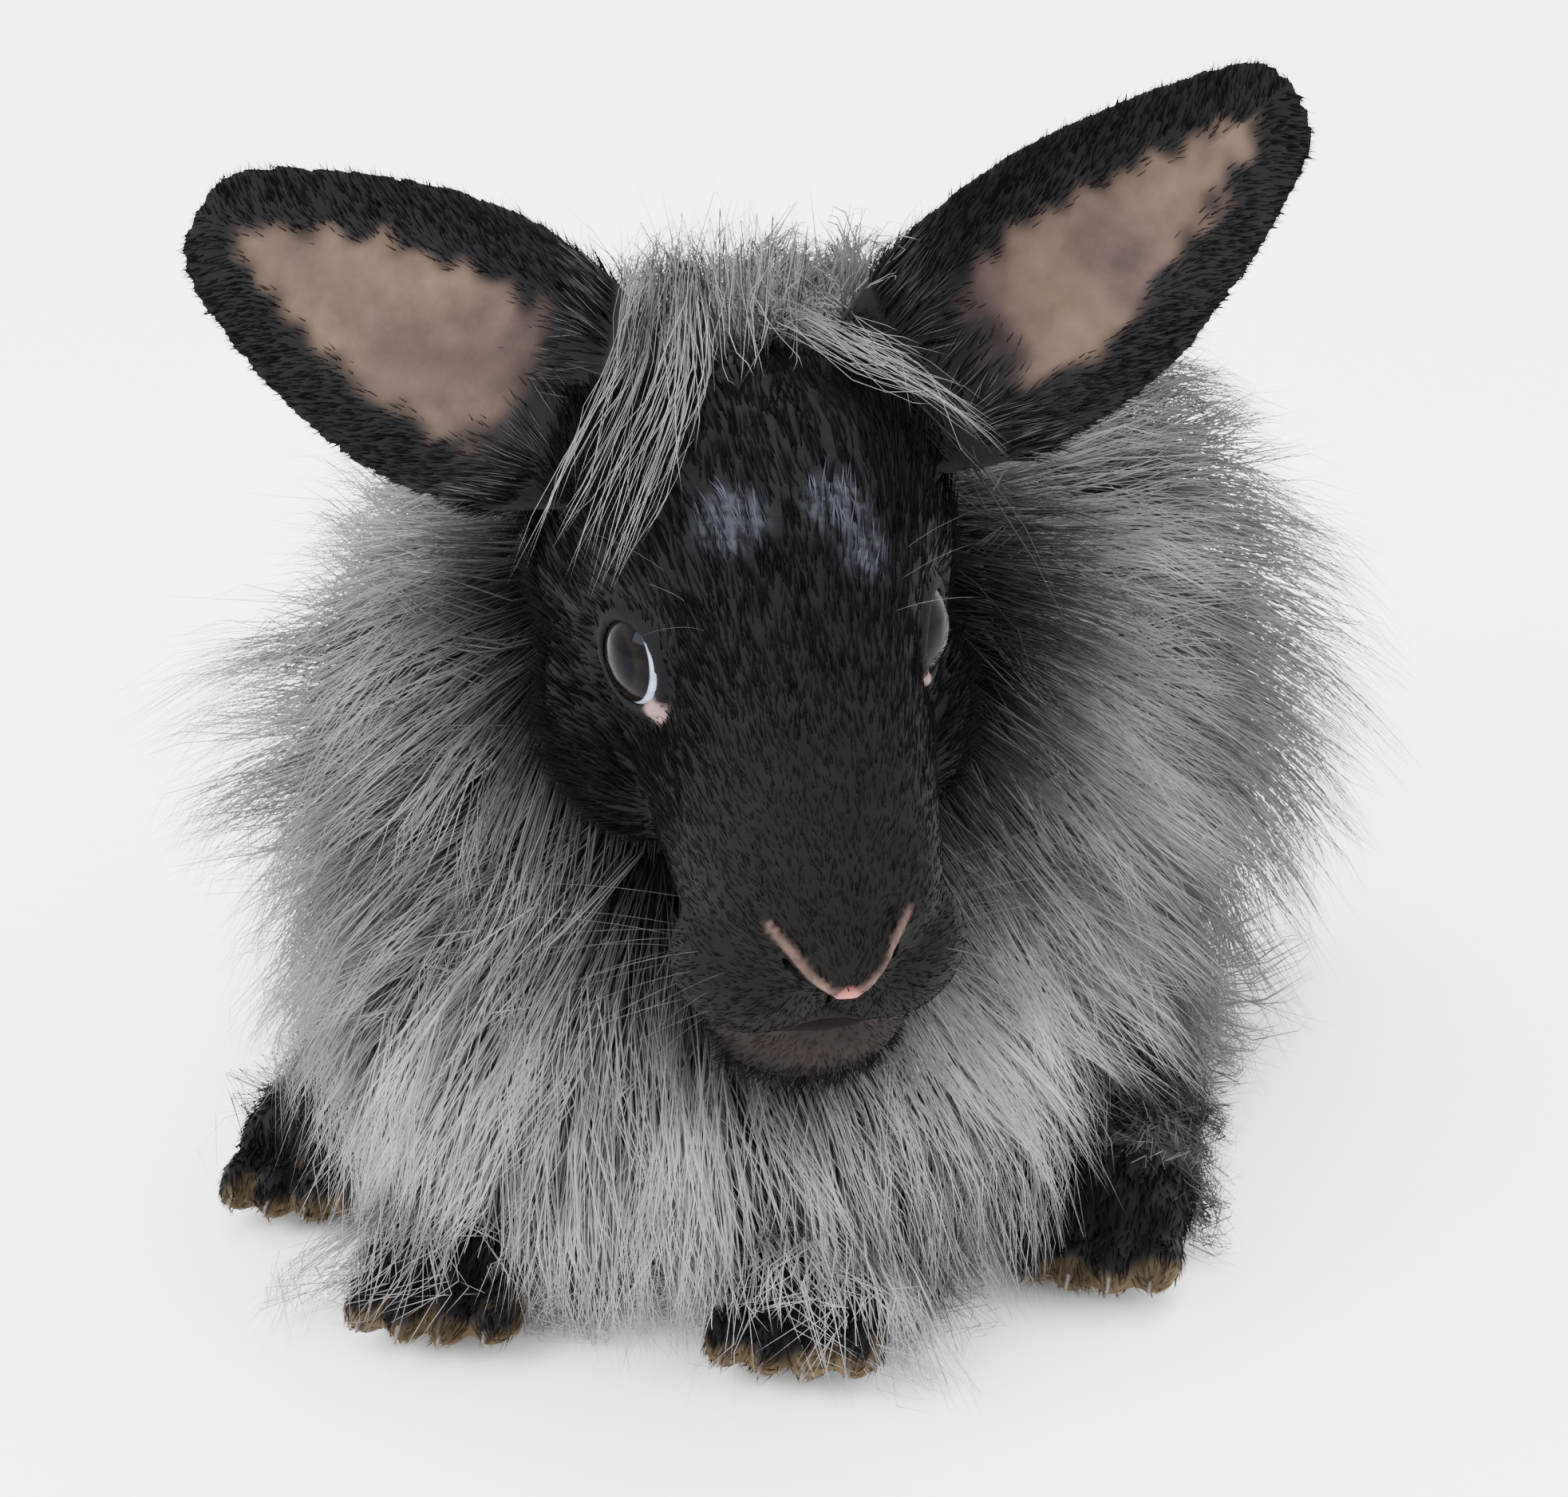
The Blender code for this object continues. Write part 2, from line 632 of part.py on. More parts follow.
def mane(grow=0.0):
    """The neck's locks: rows over its top and sides that spread outwards and back."""
    random.seed(SEED)
    locks = []
    for row in range(len(MANE_ROWS)):
        for share, turn in around_row(row, MANE_ROWS):
            root, axis, away = on_path(NECK_PATH, NECK_RADII, share, turn)
            lie = axis * 0.8 + DOWN * 0.5 * (1 - max(0.0, math.sin(turn)))
            lie = (lie - away * lie.dot(away)).normalized()
            lift = 0.8 + 0.8 * abs(math.cos(turn))
            locks.append(lock(root, lie, away, varied(MANE_LOCK), lift, DOWN * 0.14 - away * 0.08, grow))
    return locks


def on_torso(share, angle):
    """A point of the torso's dense coat and its outward direction."""
    here = torso_point(share, angle, TORSO_CORE)
    ahead, behind = min(0.999, share + 0.01), max(0.001, share - 0.01)
    along = torso_point(ahead, angle, TORSO_CORE) - torso_point(behind, angle, TORSO_CORE)
    across = torso_point(share, angle + 0.05, TORSO_CORE) - torso_point(share, angle - 0.05, TORSO_CORE)
    return here, along.cross(across).normalized()


def ruff(grow=0.0):
    """The chest's locks: they spread from the throat to the sides and hang to the floor in front."""
    random.seed(SEED + 1)
    locks = []
    for row in range(len(RUFF_ROWS)):
        for share, turn in around_row(row, RUFF_ROWS):
            root, away = on_torso(share, turn)
            lie = (root - THROAT).normalized() + DOWN * 0.5 + Vector((0, 0.25, 0))
            lie = (lie - away * lie.dot(away)).normalized()
            lift = RUFF_LIFT[1 if root.x > 0 else -1]
            locks.append(lock(root, lie, away, varied(RUFF_LOCK), lift, DOWN * 0.18 - away * 0.06, grow))
    return locks


def coat(grow=0.0):
    """The torso's locks: staggered rows over the back and flanks, each lying over the next."""
    random.seed(SEED + 2)
    locks = []
    for row in range(len(COAT_ROWS)):
        for share, turn in around_row(row, COAT_ROWS):
            root, away = on_torso(share, turn)
            flank = 1 - max(0.0, math.sin(turn))
            lie = Vector((0, 1 - 0.45 * flank, -0.2 - 0.9 * flank))
            lie = (lie - away * lie.dot(away)).normalized()
            lift = 0.05 + 0.50 * abs(math.cos(turn)) * (1 + 0.4 * min(0.0, math.sin(turn)))
            if HIP_ROWS[0] < share < HIP_ROWS[1]:
                lift += HIP_LIFT * max(0.0, math.cos(turn + HIP_TURN)) ** 4
            locks.append(lock(root, lie, away, varied(COAT_LOCK), lift, DOWN * 0.06 - away * 0.10, grow))
    return locks


def forelock(grow=0.0):
    """The head's long hair: from the poll it parts and falls over the brow and past each ear's root."""
    random.seed(SEED + 3)
    locks = []
    turn = HEAD.to_3x3()
    for side, count, sideways in ((-1, 5, 0.42), (1, 4, 0.95)):
        for k in range(count):
            spread = k / (count - 1)
            place = Vector((side * (0.003 + 0.009 * spread), 0.0385 - 0.003 * spread, 0.0185 - 0.002 * spread))
            lie = Vector((side * (sideways + 0.30 * spread), -1.0 + 0.20 * spread, 0.12)).normalized()
            bend = Vector((side * 0.08, 0.02, -0.34))
            locks.append(lock(
                HEAD @ place, turn @ lie, turn @ Vector((0, 0, 1)), varied(FORELOCK), 0.22, turn @ bend, grow,
            ))
    return locks


def tail_tufts(grow=0.0):
    """The tail's locks: two rows that lie towards its end and fluff out all round."""
    random.seed(SEED + 4)
    locks = []
    for row in range(len(TAIL_ROWS)):
        for share, turn in around_row(row, TAIL_ROWS):
            root, axis, away = on_path(TAIL_PATH, TAIL_RADII, share, turn)
            locks.append(lock(root, axis, away, varied(TAIL_LOCK), 0.40, DOWN * 0.05 - away * 0.34, grow))
    return locks


def centre_on_floor(nodes):
    """Moves the whole animal so that the middle of its outline is over the origin."""
    points = [vertex.co for node in nodes for vertex in node.data.vertices]
    shift = Vector([-(min(p[k] for p in points) + max(p[k] for p in points)) / 2 for k in (0, 1)] + [0.0])
    for node in nodes:
        node.data.transform(Matrix.Translation(shift))


def main():
    for old in list(bpy.data.objects):
        bpy.data.objects.remove(old)
    random.seed(SEED)
    nodes = []

    def keep(made, coat):
        finish(made, coat)
        nodes.append(made)

    for side, name in ((1, "left"), (-1, "right")):
        keep(keep_largest(eyeball("eye_" + name, side)), "eye")
    keep(make_head(), "black_fur")
    for name in ("left", "right"):
        cut = less(ear("ear_" + name, name), [fused("head_room", head_pieces(CLEAR))])
        keep(cut, "black_fur")
    for side, name in ((1, "left"), (-1, "right")):
        keep(on_floor(fused("foreleg_" + name, foreleg_pieces(side))), "foot_fur")
        keep(on_floor(fused("hindleg_" + name, hindleg_pieces(side))), "foot_fur")
    neck_cutters = [fused("head_room", head_pieces(CLEAR))]
    neck_cutters += [ear("ear_room", name, grow=CLEAR) for name in ("left", "right")]
    neck_cutters += [fused("leg_room", foreleg_pieces(side, CLEAR)) for side in (1, -1)]
    keep(less(fused("neck", [neck_core()] + mane()), neck_cutters), "grey_fur")
    torso_cutters = [fused("head_room", head_pieces(CLEAR)), fused("neck_room", [neck_core(CLEAR)] + mane(CLEAR))]
    torso_cutters += [fused("leg_room", foreleg_pieces(side, CLEAR)) for side in (1, -1)]
    torso_cutters += [fused("leg_room", hindleg_pieces(side, CLEAR)) for side in (1, -1)]
    keep(less(fused("torso", [torso_core()] + ruff() + coat()), torso_cutters), "grey_fur")
    tail = fused("tail", [tail_core()] + tail_tufts())
    keep(less(tail, [fused("torso_room", [torso_core(CLEAR)] + coat(CLEAR))]), "grey_fur")
    centre_on_floor(nodes)


main()
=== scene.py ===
import math

import bpy
import numpy as np
from mathutils import Matrix, Vector
from mathutils.bvhtree import BVHTree
from mathutils.kdtree import KDTree


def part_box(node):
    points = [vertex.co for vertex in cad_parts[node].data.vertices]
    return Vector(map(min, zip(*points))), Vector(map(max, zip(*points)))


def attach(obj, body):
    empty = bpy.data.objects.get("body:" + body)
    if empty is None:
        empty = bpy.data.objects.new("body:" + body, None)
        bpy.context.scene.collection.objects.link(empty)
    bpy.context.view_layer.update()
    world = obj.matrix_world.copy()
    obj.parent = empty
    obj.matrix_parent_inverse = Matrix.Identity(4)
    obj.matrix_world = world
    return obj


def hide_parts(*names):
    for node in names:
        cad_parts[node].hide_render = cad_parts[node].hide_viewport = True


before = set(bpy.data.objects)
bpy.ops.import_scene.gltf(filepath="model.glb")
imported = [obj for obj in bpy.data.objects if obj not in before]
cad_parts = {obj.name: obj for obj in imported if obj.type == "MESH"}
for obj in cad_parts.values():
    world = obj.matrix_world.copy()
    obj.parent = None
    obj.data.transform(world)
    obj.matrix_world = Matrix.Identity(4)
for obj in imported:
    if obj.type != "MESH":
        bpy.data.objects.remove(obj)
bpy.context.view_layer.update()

downwards = np.array((0.0, 0.0, -1.0))
share = 1.0


# Small sums on many points at once

def unit(ways):
    return ways / np.maximum(np.linalg.norm(ways, axis=-1, keepdims=True), 1e-9)


def dot(a, b):
    return np.sum(a * b, axis=-1, keepdims=True)


def ease(low, high, value):
    t = np.clip((value - low) / (high - low), 0.0, 1.0)
    return t * t * (3 - 2 * t)


def blend(a, b, weight):
    return a + (b - a) * weight


# A smooth curve through rows of keys, read at many places, with no overshoot between them
def through(keys, places, column=1):
    keys = np.asarray(keys, float)
    at, value = keys[:, 0], keys[:, column]
    secant = np.diff(value) / np.diff(at)
    slope = np.empty(len(at))
    slope[0], slope[-1] = secant[0], secant[-1]
    product, total = secant[:-1] * secant[1:], secant[:-1] + secant[1:]
    slope[1:-1] = np.where(product > 0, 2 * product / np.where(total == 0, 1, total), 0)
    i = np.clip(np.searchsorted(at, places, side="right") - 1, 0, len(at) - 2)
    span = at[i + 1] - at[i]
    u = np.clip((places - at[i]) / span, 0, 1)
    flat = (2 * u ** 3 - 3 * u ** 2 + 1) * value[i] + (3 * u ** 2 - 2 * u ** 3) * value[i + 1]
    return flat + span * ((u ** 3 - 2 * u ** 2 + u) * slope[i] + (u ** 3 - u ** 2) * slope[i + 1])


# 1 along a body, falling to 0 as a quarter circle over the last length before its end
def rounded(place, length):
    return np.sqrt(np.maximum(0.0, 1 - (1 - np.minimum(1.0, place / length)) ** 2))


# Soft random ways that change over about size, the same for the same seed
def ripple(points, size, seed, waves=8):
    draw = np.random.default_rng(seed)
    ways = unit(draw.normal(size=(waves, 3))) * draw.uniform(0.6, 1.5, (waves, 1)) * 2 * math.pi / size
    phases = draw.uniform(0, 2 * math.pi, (waves, 3))
    sines = [np.sin((points @ ways[w])[:, None] + phases[w]) for w in range(waves)]
    return np.sum(sines, axis=0) / math.sqrt(waves)


# The living shape under the coat, in the rabbit's own frame: metres, nose towards -Y
head = {
    "at": (0.0246, -0.0018, 0.1085), "yaw": 26.8, "pitch": 39.5, "roll": -2.0,
    "length": 0.090, "eyeFromNose": 0.046, "noseRound": 0.10, "napeRound": 0.16,
    # share from the nose: half width, top, bottom, level of the widest line
    "stations": (
        (0.00, 0.0080, -0.0035, -0.0140, -0.0085), (0.08, 0.0125, 0.0010, -0.0200, -0.0095),
        (0.18, 0.0152, 0.0060, -0.0265, -0.0105), (0.31, 0.0165, 0.0112, -0.0290, -0.0090),
        (0.44, 0.0192, 0.0155, -0.0300, -0.0075), (0.58, 0.0232, 0.0182, -0.0310, -0.0065),
        (0.71, 0.0258, 0.0182, -0.0300, -0.0055), (0.84, 0.0242, 0.0145, -0.0250, -0.0040),
        (1.00, 0.0175, 0.0070, -0.0150, -0.0025),
    ),
    "pads": ((0.0078, -0.0358, -0.0160), (0.0112, 0.0100, 0.0109)),
    "cheeks": ((0.0168, 0.0020, -0.0172), (0.0108, 0.0185, 0.0108)),
    "chin": ((0.0, -0.0374, -0.0288), (0.0131, 0.0096, 0.0084)),
    "nose": ((0.0, -0.0425, -0.0055), (0.0066, 0.0050, 0.0046)),
    "mouth": ((0.0, -0.0345, -0.0226), (0.0155, 0.0147, 0.0006)),
    "voxel": 0.00074,
}
eye = {
    "radius": 0.0080, "side": 0.0143, "way": (0.90, -0.37, 0.25), "open": 51.0, "tall": 0.90, "lid": 0.0012,
    "turn": 0.135, "sink": 0.100, "farShown": 0.35, "level": 0.0044, "reach": 0.0070, "slope": 0.55,     # height of the short fur over the eye's middle, near it and away
}
ears = {
    "root": (0.0165, 0.0270, 0.0125), "faces": (0.195, -0.919, 0.342), "curl": 72.0, "thick": 0.0024,
    "tips": {"left": (0.0822, 0.0525, 0.1710), "right": (-0.0575, 0.0169, 0.1555)},
    "upper": {"left": 0.70, "right": 0.86},     # the upper side's half width against the lower side's
    "halfWidths": (
        (0.00, 0.0120), (0.17, 0.0172), (0.36, 0.0190), (0.50, 0.0182), (0.61, 0.0163),
        (0.70, 0.0145), (0.83, 0.0110), (0.92, 0.0078), (1.00, 0.0030),
    ),
    "cups": ((0.00, 0.0100), (0.25, 0.0105), (0.60, 0.0070), (0.85, 0.0035), (1.00, 0.0008)),
}
body = {
    "front": 0.012, "length": 0.185, "round": 0.17, "skin": 0.006, "throat": (0.016, 0.004, 0.092),
    # share from the chest: half width, top, bottom, level of the widest line
    "stations": (
        (0.00, 0.0260, 0.0740, 0.0300, 0.0520), (0.10, 0.0365, 0.0850, 0.0220, 0.0510),
        (0.25, 0.0425, 0.0940, 0.0185, 0.0500), (0.43, 0.0475, 0.1060, 0.0160, 0.0480),
        (0.60, 0.0540, 0.1120, 0.0150, 0.0460), (0.76, 0.0550, 0.1060, 0.0160, 0.0450),
        (0.89, 0.0450, 0.0870, 0.0210, 0.0460), (1.00, 0.0300, 0.0680, 0.0320, 0.0480),
    ),
    # each a run of x, y, z, half width and half height
    "neck": ((0.0170, 0.0300, 0.1080, 0.0290, 0.0290), (0.0090, 0.0470, 0.0880, 0.0350, 0.0350),
             (0.0010, 0.0660, 0.0680, 0.0360, 0.0360)),
    "tail": ((0.0, 0.1980, 0.0560, 0.0085, 0.0085), (0.0, 0.2180, 0.0600, 0.0100, 0.0100),
             (0.0, 0.2290, 0.0700, 0.0070, 0.0070)),
}
legs = {
    "fore": ((0.0300, 0.0560, 0.0480, 0.0110, 0.0140), (0.0320, 0.0500, 0.0300, 0.0090, 0.0105),
             (0.0275, 0.0330, 0.0130, 0.0080, 0.0085), (0.0255, 0.0200, 0.0090, 0.0105, 0.0078),
             (0.0250, 0.0085, 0.0082, 0.0115, 0.0070)),
    "hind": ((0.0520, 0.1240, 0.0120, 0.0080, 0.0100), (0.0545, 0.1080, 0.0105, 0.0090, 0.0095),
             (0.0585, 0.0780, 0.0096, 0.0100, 0.0083), (0.0605, 0.0550, 0.0088, 0.0114, 0.0075),
             (0.0605, 0.0430, 0.0082, 0.0112, 0.0068)),
    "thigh": ((0.0430, 0.1280, 0.0330), (0.0130, 0.0290, 0.0210)),
    "rightInset": 0.0065, "toe": (0.0034, 0.0072, 0.0039), "claw": 0.0048, "clawThick": 0.0010, "voxel": 0.0010,
}

turnHead = (Matrix.Rotation(math.radians(head["yaw"]), 3, "Z") @ Matrix.Rotation(math.radians(head["pitch"]), 3, "X")
            @ Matrix.Rotation(math.radians(head["roll"]), 3, "Y"))
headTurn = np.array(turnHead)
headAt = np.array(head["at"])


def fromHead(points):
    return np.asarray(points) @ headTurn.T + headAt


def toHead(points):
    return (np.asarray(points) - headAt) @ headTurn


def eyeWay(side):
    way = np.array(eye["way"]) * (side, 1, 1)
    return way / np.linalg.norm(way)


# The CAD centres the whole outline, so the eyes say how far this frame is moved from the rabbit's own
eyeBoxes = [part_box("eye_left"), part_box("eye_right")]
eyeMiddle = np.mean([np.array(corner) for pair in eyeBoxes for corner in pair], axis=0)
moved = eyeMiddle - headAt
moved[2] = 0.0
print("frame moved by", np.round(moved * 1000, 2), "mm")


def oval(turn, half, top, bottom, level, power=0.92):
    across, up = np.cos(turn), np.sin(turn)
    rise = np.where(up > 0, top - level, level - bottom)
    return (np.sign(across) * half * np.abs(across) ** power,
            level + np.sign(up) * rise * np.abs(up) ** power)


def stationed(stations, place, close, grow):
    half, top, bottom, level = (through(stations, place, column) for column in (1, 2, 3, 4))
    return (half + grow) * close, level + (top - level + grow) * close, level - (level - bottom + grow) * close, level


# The head without its fur; the skin dips to the lids round each eye
def headPoint(place, turn):
    close = rounded(place, head["noseRound"]) * rounded(1 - place, head["napeRound"])
    x, z = oval(turn, *stationed(head["stations"], place, close, 0.0012))
    points = np.stack([x, place * head["length"] - head["eyeFromNose"], z], axis=-1)
    for side in (1, -1):
        way = eyeWay(side)
        fromEye = points - (eye["side"] * side, 0, 0)
        high = fromEye @ way
        aside = np.linalg.norm(fromEye - high[:, None] * way, axis=1)
        lid = eye["level"] + np.maximum(0, aside - eye["reach"]) * eye["slope"]
        over = np.where(points[:, 0] * side > 0, np.maximum(0, high - lid), 0)
        points = points - over[:, None] * way
    return fromHead(points)


def bodyPoint(place, turn):
    close = rounded(place, body["round"]) * rounded(1 - place, body["round"])
    grow = body["skin"]
    x, z = oval(turn, *stationed(body["stations"], place, close, grow))
    return np.stack([x, body["front"] + place * body["length"] + grow * (2 * place - 1), z], axis=-1)


def earFrame(name):
    side = 1 if name == "left" else -1
    root = fromHead(np.array(ears["root"]) * (side, 1, 1))
    reach = np.array(ears["tips"][name]) - root
    length = np.linalg.norm(reach)
    along = reach / length
    faces = np.array(ears["faces"])
    faces = unit(faces - along * (faces @ along))
    over = np.cross(along, faces)
    upper = (1.0, ears["upper"][name]) if over[2] > 0 else (ears["upper"][name], 1.0)
    return root, along, faces, over, length, upper


# A point on an ear: across runs from -1 to 1 between its edges, depth from the inner face back
def earPoint(frameOf, place, across, depth):
    root, along, faces, over, length, sides = frameOf
    curl = math.radians(ears["curl"])
    half = through(ears["halfWidths"], place) * np.where(across > 0, sides[1], sides[0])
    cup = through(ears["cups"], place)
    turn = across * curl
    aside = np.sin(turn) / math.sin(curl)
    rise = (1 - np.cos(turn)) / (1 - math.cos(curl))
    inX, inY = -aside * half * 0.9, cup * 1.4 * np.cos(turn)
    size = np.maximum(np.hypot(inX, inY), 1e-9)
    x = aside * half - inX / size * depth
    y = cup * (rise - 0.55) - inY / size * depth
    return root + along * (length * place)[:, None] + over * x[:, None] + faces * y[:, None]


# A limb's point at a share of its run and a turn round it, with ends as round as rounding says
def runPoint(stations, place, turn, rounding=0.12):
    keys = [(i / (len(stations) - 1), *station) for i, station in enumerate(stations)]
    place = np.clip(place, 0, 1)

    def middle(at):
        return np.stack([through(keys, at, column) for column in (1, 2, 3)], axis=-1)

    way = unit(middle(np.minimum(1, place + 0.02)) - middle(np.maximum(0, place - 0.02)))
    aside = unit(np.cross(way, (0.0, 0.0, 1.0)))
    up = np.cross(aside, way)
    close = rounded(place, rounding) * rounded(1 - place, rounding)
    wide, high = through(keys, place, 4) * close, through(keys, place, 5) * close
    return middle(place) + aside * (np.cos(turn) * wide)[:, None] + up * (np.sin(turn) * high)[:, None]


def ballPoint(middle, radii, turned=None):
    def at(place, turn):
        flat = 2 * np.sqrt(np.maximum(0, place * (1 - place)))
        points = np.stack([radii[0] * flat * np.cos(turn), radii[1] * (2 * place - 1), radii[2] * flat * np.sin(turn)], -1)
        points = points + middle
        return points if turned is None else turned(points)
    return at


# Modelling helpers

def deselect():
    for other in bpy.context.selected_objects:
        other.select_set(False)


def choose(*objects):
    deselect()
    for made in objects:
        made.select_set(True)
    bpy.context.view_layer.objects.active = objects[0]


def coordinates(made):
    at = np.empty(len(made.data.vertices) * 3)
    made.data.vertices.foreach_get("co", at)
    return at.reshape(-1, 3)


def place(made, points):
    made.data.vertices.foreach_set("co", np.ascontiguousarray(points).reshape(-1))
    made.data.update()
    return made


# A round primitive whose poles are the ends of a body part, pulled to that part's shape
def shapedBall(name, segments, rings, toPoint):
    deselect()
    bpy.ops.mesh.primitive_uv_sphere_add(segments=segments, ring_count=rings, radius=1)
    made = bpy.context.object
    made.name = name
    at = coordinates(made)
    place(made, toPoint((1 - np.clip(at[:, 2], -1, 1)) / 2, np.arctan2(at[:, 1], at[:, 0])))
    bpy.ops.object.mode_set(mode="EDIT")
    bpy.ops.mesh.select_all(action="SELECT")
    bpy.ops.mesh.normals_make_consistent(inside=False)
    bpy.ops.object.mode_set(mode="OBJECT")
    return made


def joined(name, objects):
    choose(*objects)
    bpy.ops.object.join()
    made = bpy.context.object
    made.name = name
    return made


def modified(made, kind, **settings):
    choose(made)
    modifier = made.modifiers.new(kind, kind)
    for key, value in settings.items():
        setattr(modifier, key, value)
    bpy.ops.object.modifier_apply(modifier=modifier.name)
    return made


def combined(made, others, operation):
    for other in others:
        modified(made, "BOOLEAN", operation=operation, solver="MANIFOLD", object=other)
        bpy.data.objects.remove(other)
    return made


def softened(made, voxel, times):
    modified(made, "REMESH", mode="VOXEL", voxel_size=voxel, adaptivity=0.0)
    return modified(made, "SMOOTH", factor=0.5, iterations=times)


# Skin: one closed piece under the whole coat

def lidPoint(side):
    way = fromHead(eyeWay(side)[None])[0] - headAt
    forward = fromHead(np.array((0, -1, -0.12))[None])[0] - headAt
    longWay = unit(forward - way * (forward @ way))
    highWay = np.cross(way, longWay)
    middle = fromHead(np.array((eye["side"] * side, 0, 0))[None])[0]
    return middle, way, longWay, highWay


def lidRing(side):
    middle, way, longWay, highWay = lidPoint(side)
    deselect()
    bpy.ops.mesh.primitive_torus_add(major_segments=48, minor_segments=10, major_radius=1, minor_radius=0.25)
    made = bpy.context.object
    at = coordinates(made)
    turn = np.arctan2(at[:, 1], at[:, 0])
    minor = np.stack([np.hypot(at[:, 0], at[:, 1]) - 1, at[:, 2]], -1) / 0.25
    opening = math.radians(eye["open"])
    reach = eye["radius"] + eye["lid"] * 0.35
    spread = longWay * np.cos(turn)[:, None] + highWay * (np.sin(turn) * eye["tall"])[:, None]
    core = middle + way * reach * math.cos(opening) + spread * reach * math.sin(opening)
    out = unit(core - middle)
    tangent = unit(highWay * (np.cos(turn) * eye["tall"])[:, None] - longWay * np.sin(turn)[:, None])
    wide = np.cross(tangent, out)
    place(made, core + (out * minor[:, 1:] * 0.8 + wide * minor[:, :1] * 1.3) * eye["lid"])
    bpy.ops.object.mode_set(mode="EDIT")
    bpy.ops.mesh.select_all(action="SELECT")
    bpy.ops.mesh.normals_make_consistent(inside=False)
    bpy.ops.object.mode_set(mode="OBJECT")
    return made


noseFold = {   # the rim of the nostrils, from the left end through the tip to the right end, in the head's frame
    "points": ((0.0088, -0.0394, -0.0020), (0.0056, -0.0446, -0.0037), (0.0030, -0.0473, -0.0054),
               (0.0, -0.0484, -0.0068), (-0.0030, -0.0473, -0.0054), (-0.0056, -0.0446, -0.0037),
               (-0.0088, -0.0394, -0.0020)),
    "thick": 0.0007, "septum": (0.0, -0.0486, -0.0078),
}


def makeHeadSkin():
    pieces = [shapedBall("skull", 88, 64, headPoint)]
    for side in (1, -1):
        for name in ("pads", "cheeks"):
            (x, y, z), radii = head[name]
            pieces.append(shapedBall(name, 32, 24, ballPoint((x * side, y, z), radii, fromHead)))
        pieces.append(lidRing(side))
    for name in ("chin", "nose"):
        pieces.append(shapedBall(name, 32, 20, ballPoint(*head[name], fromHead)))
    thick = noseFold["thick"]
    run = [(*fromHead(np.array(point)[None])[0], thick, thick) for point in noseFold["points"]]
    pieces.append(shapedBall("fold", 10, 40, lambda at, turn: runPoint(run, at, turn, 0.05)))
    for name in ("left", "right"):
        frameOf = earFrame(name)

        def earSkin(at, turn, frameOf=frameOf):
            thick = ears["thick"] * (1 - 0.25 * at) * rounded(1 - at, 0.08)
            across = np.cos(turn) * rounded(1 - at, 0.04)
            back = np.where(np.sin(turn) < 0, 1.0, 0.0)
            depth = thick * (0.5 - 0.5 * np.sin(turn)) * np.where(back > 0, 1.0, 1.0)
            return earPoint(frameOf, at * 0.995, across, depth + 0.0003)

        pieces.append(shapedBall("ear", 44, 48, earSkin))
    made = softened(joined("headSkin", pieces), head["voxel"] * (1), 5)
    cuts = []
    cuts.append(shapedBall("mouthLine", 40, 12, ballPoint(*head["mouth"], fromHead)))
    cuts.append(shapedBall("philtrum", 12, 12, ballPoint((0, -0.0452, -0.0152), (0.0005, 0.0036, 0.0056), fromHead)))
    for side in (1, -1):
        slit = [(*fromHead(np.array((x * side, y, z))[None])[0], 0.0008, 0.0012)
                for x, y, z in ((0.0080, -0.0402, -0.0043), (0.0053, -0.0447, -0.0061), (0.0028, -0.0468, -0.0084))]
        cuts.append(shapedBall("nostril", 10, 14, lambda at, turn, slit=slit: runPoint(slit, at, turn, 0.3)))
        middle = fromHead(np.array((eye["side"] * side, 0, 0))[None])[0]
        cuts.append(shapedBall("socket", 48, 32, ballPoint(middle, (eye["radius"] + 0.0001,) * 3)))
    return combined(made, cuts, "DIFFERENCE")


def toesOf(run, side):
    x, y, z, half, high = run[-1]
    made = []
    for k in range(4):
        offset = (k - 1.5) / 1.5
        made.append((x + offset * (half + 0.001 - legs["toe"][0] - 0.0003), y - 0.0035 + abs(offset) * 0.0022, z - 0.0022))
    return made


def legRun(name, side):
    inset = legs["rightInset"] if name == "hind" and side < 0 else 0.0
    return [((x - inset) * side, y, z, wide, high) for x, y, z, wide, high in legs[name]]


def makeBodySkin():
    trunk = shapedBall("trunk", 56, 44, bodyPoint)
    others = [shapedBall("neckSkin", 40, 28, lambda at, turn: runPoint(body["neck"], at, turn, 0.16)),
              shapedBall("tailSkin", 24, 20, lambda at, turn: runPoint(body["tail"], at, turn, 0.30))]
    for side in (1, -1):
        (x, y, z), radii = legs["thigh"]
        others.append(shapedBall("thigh", 24, 20, ballPoint((x * side, y, z), radii)))
        for name in ("fore", "hind"):
            run = legRun(name, side)
            paw = [shapedBall(name, 28, 40, lambda at, turn, run=run: runPoint(run, at, turn, 0.10))]
            paw += [shapedBall("toe", 16, 12, ballPoint(toe, legs["toe"])) for toe in toesOf(run, side)]
            others.append(softened(joined(name + "Paw", paw), legs["voxel"], 3))
    return combined(trunk, others, "UNION")


skin = combined(makeHeadSkin(), [makeBodySkin()], "UNION")
skin.name = "skin"
print("skin:", len(skin.data.polygons), "faces")

# Unwrap: every hair reads its place on the skin from here
for layer in list(skin.data.uv_layers):
    skin.data.uv_layers.remove(layer)
skin.data.uv_layers.new(name="OFBake")
choose(skin)
bpy.ops.object.mode_set(mode="EDIT")
bpy.ops.mesh.select_all(action="SELECT")
bpy.ops.uv.smart_project(angle_limit=math.radians(70), island_margin=0.001)
bpy.ops.object.mode_set(mode="OBJECT")
bpy.ops.object.shade_smooth()
print("skin unwrapped")


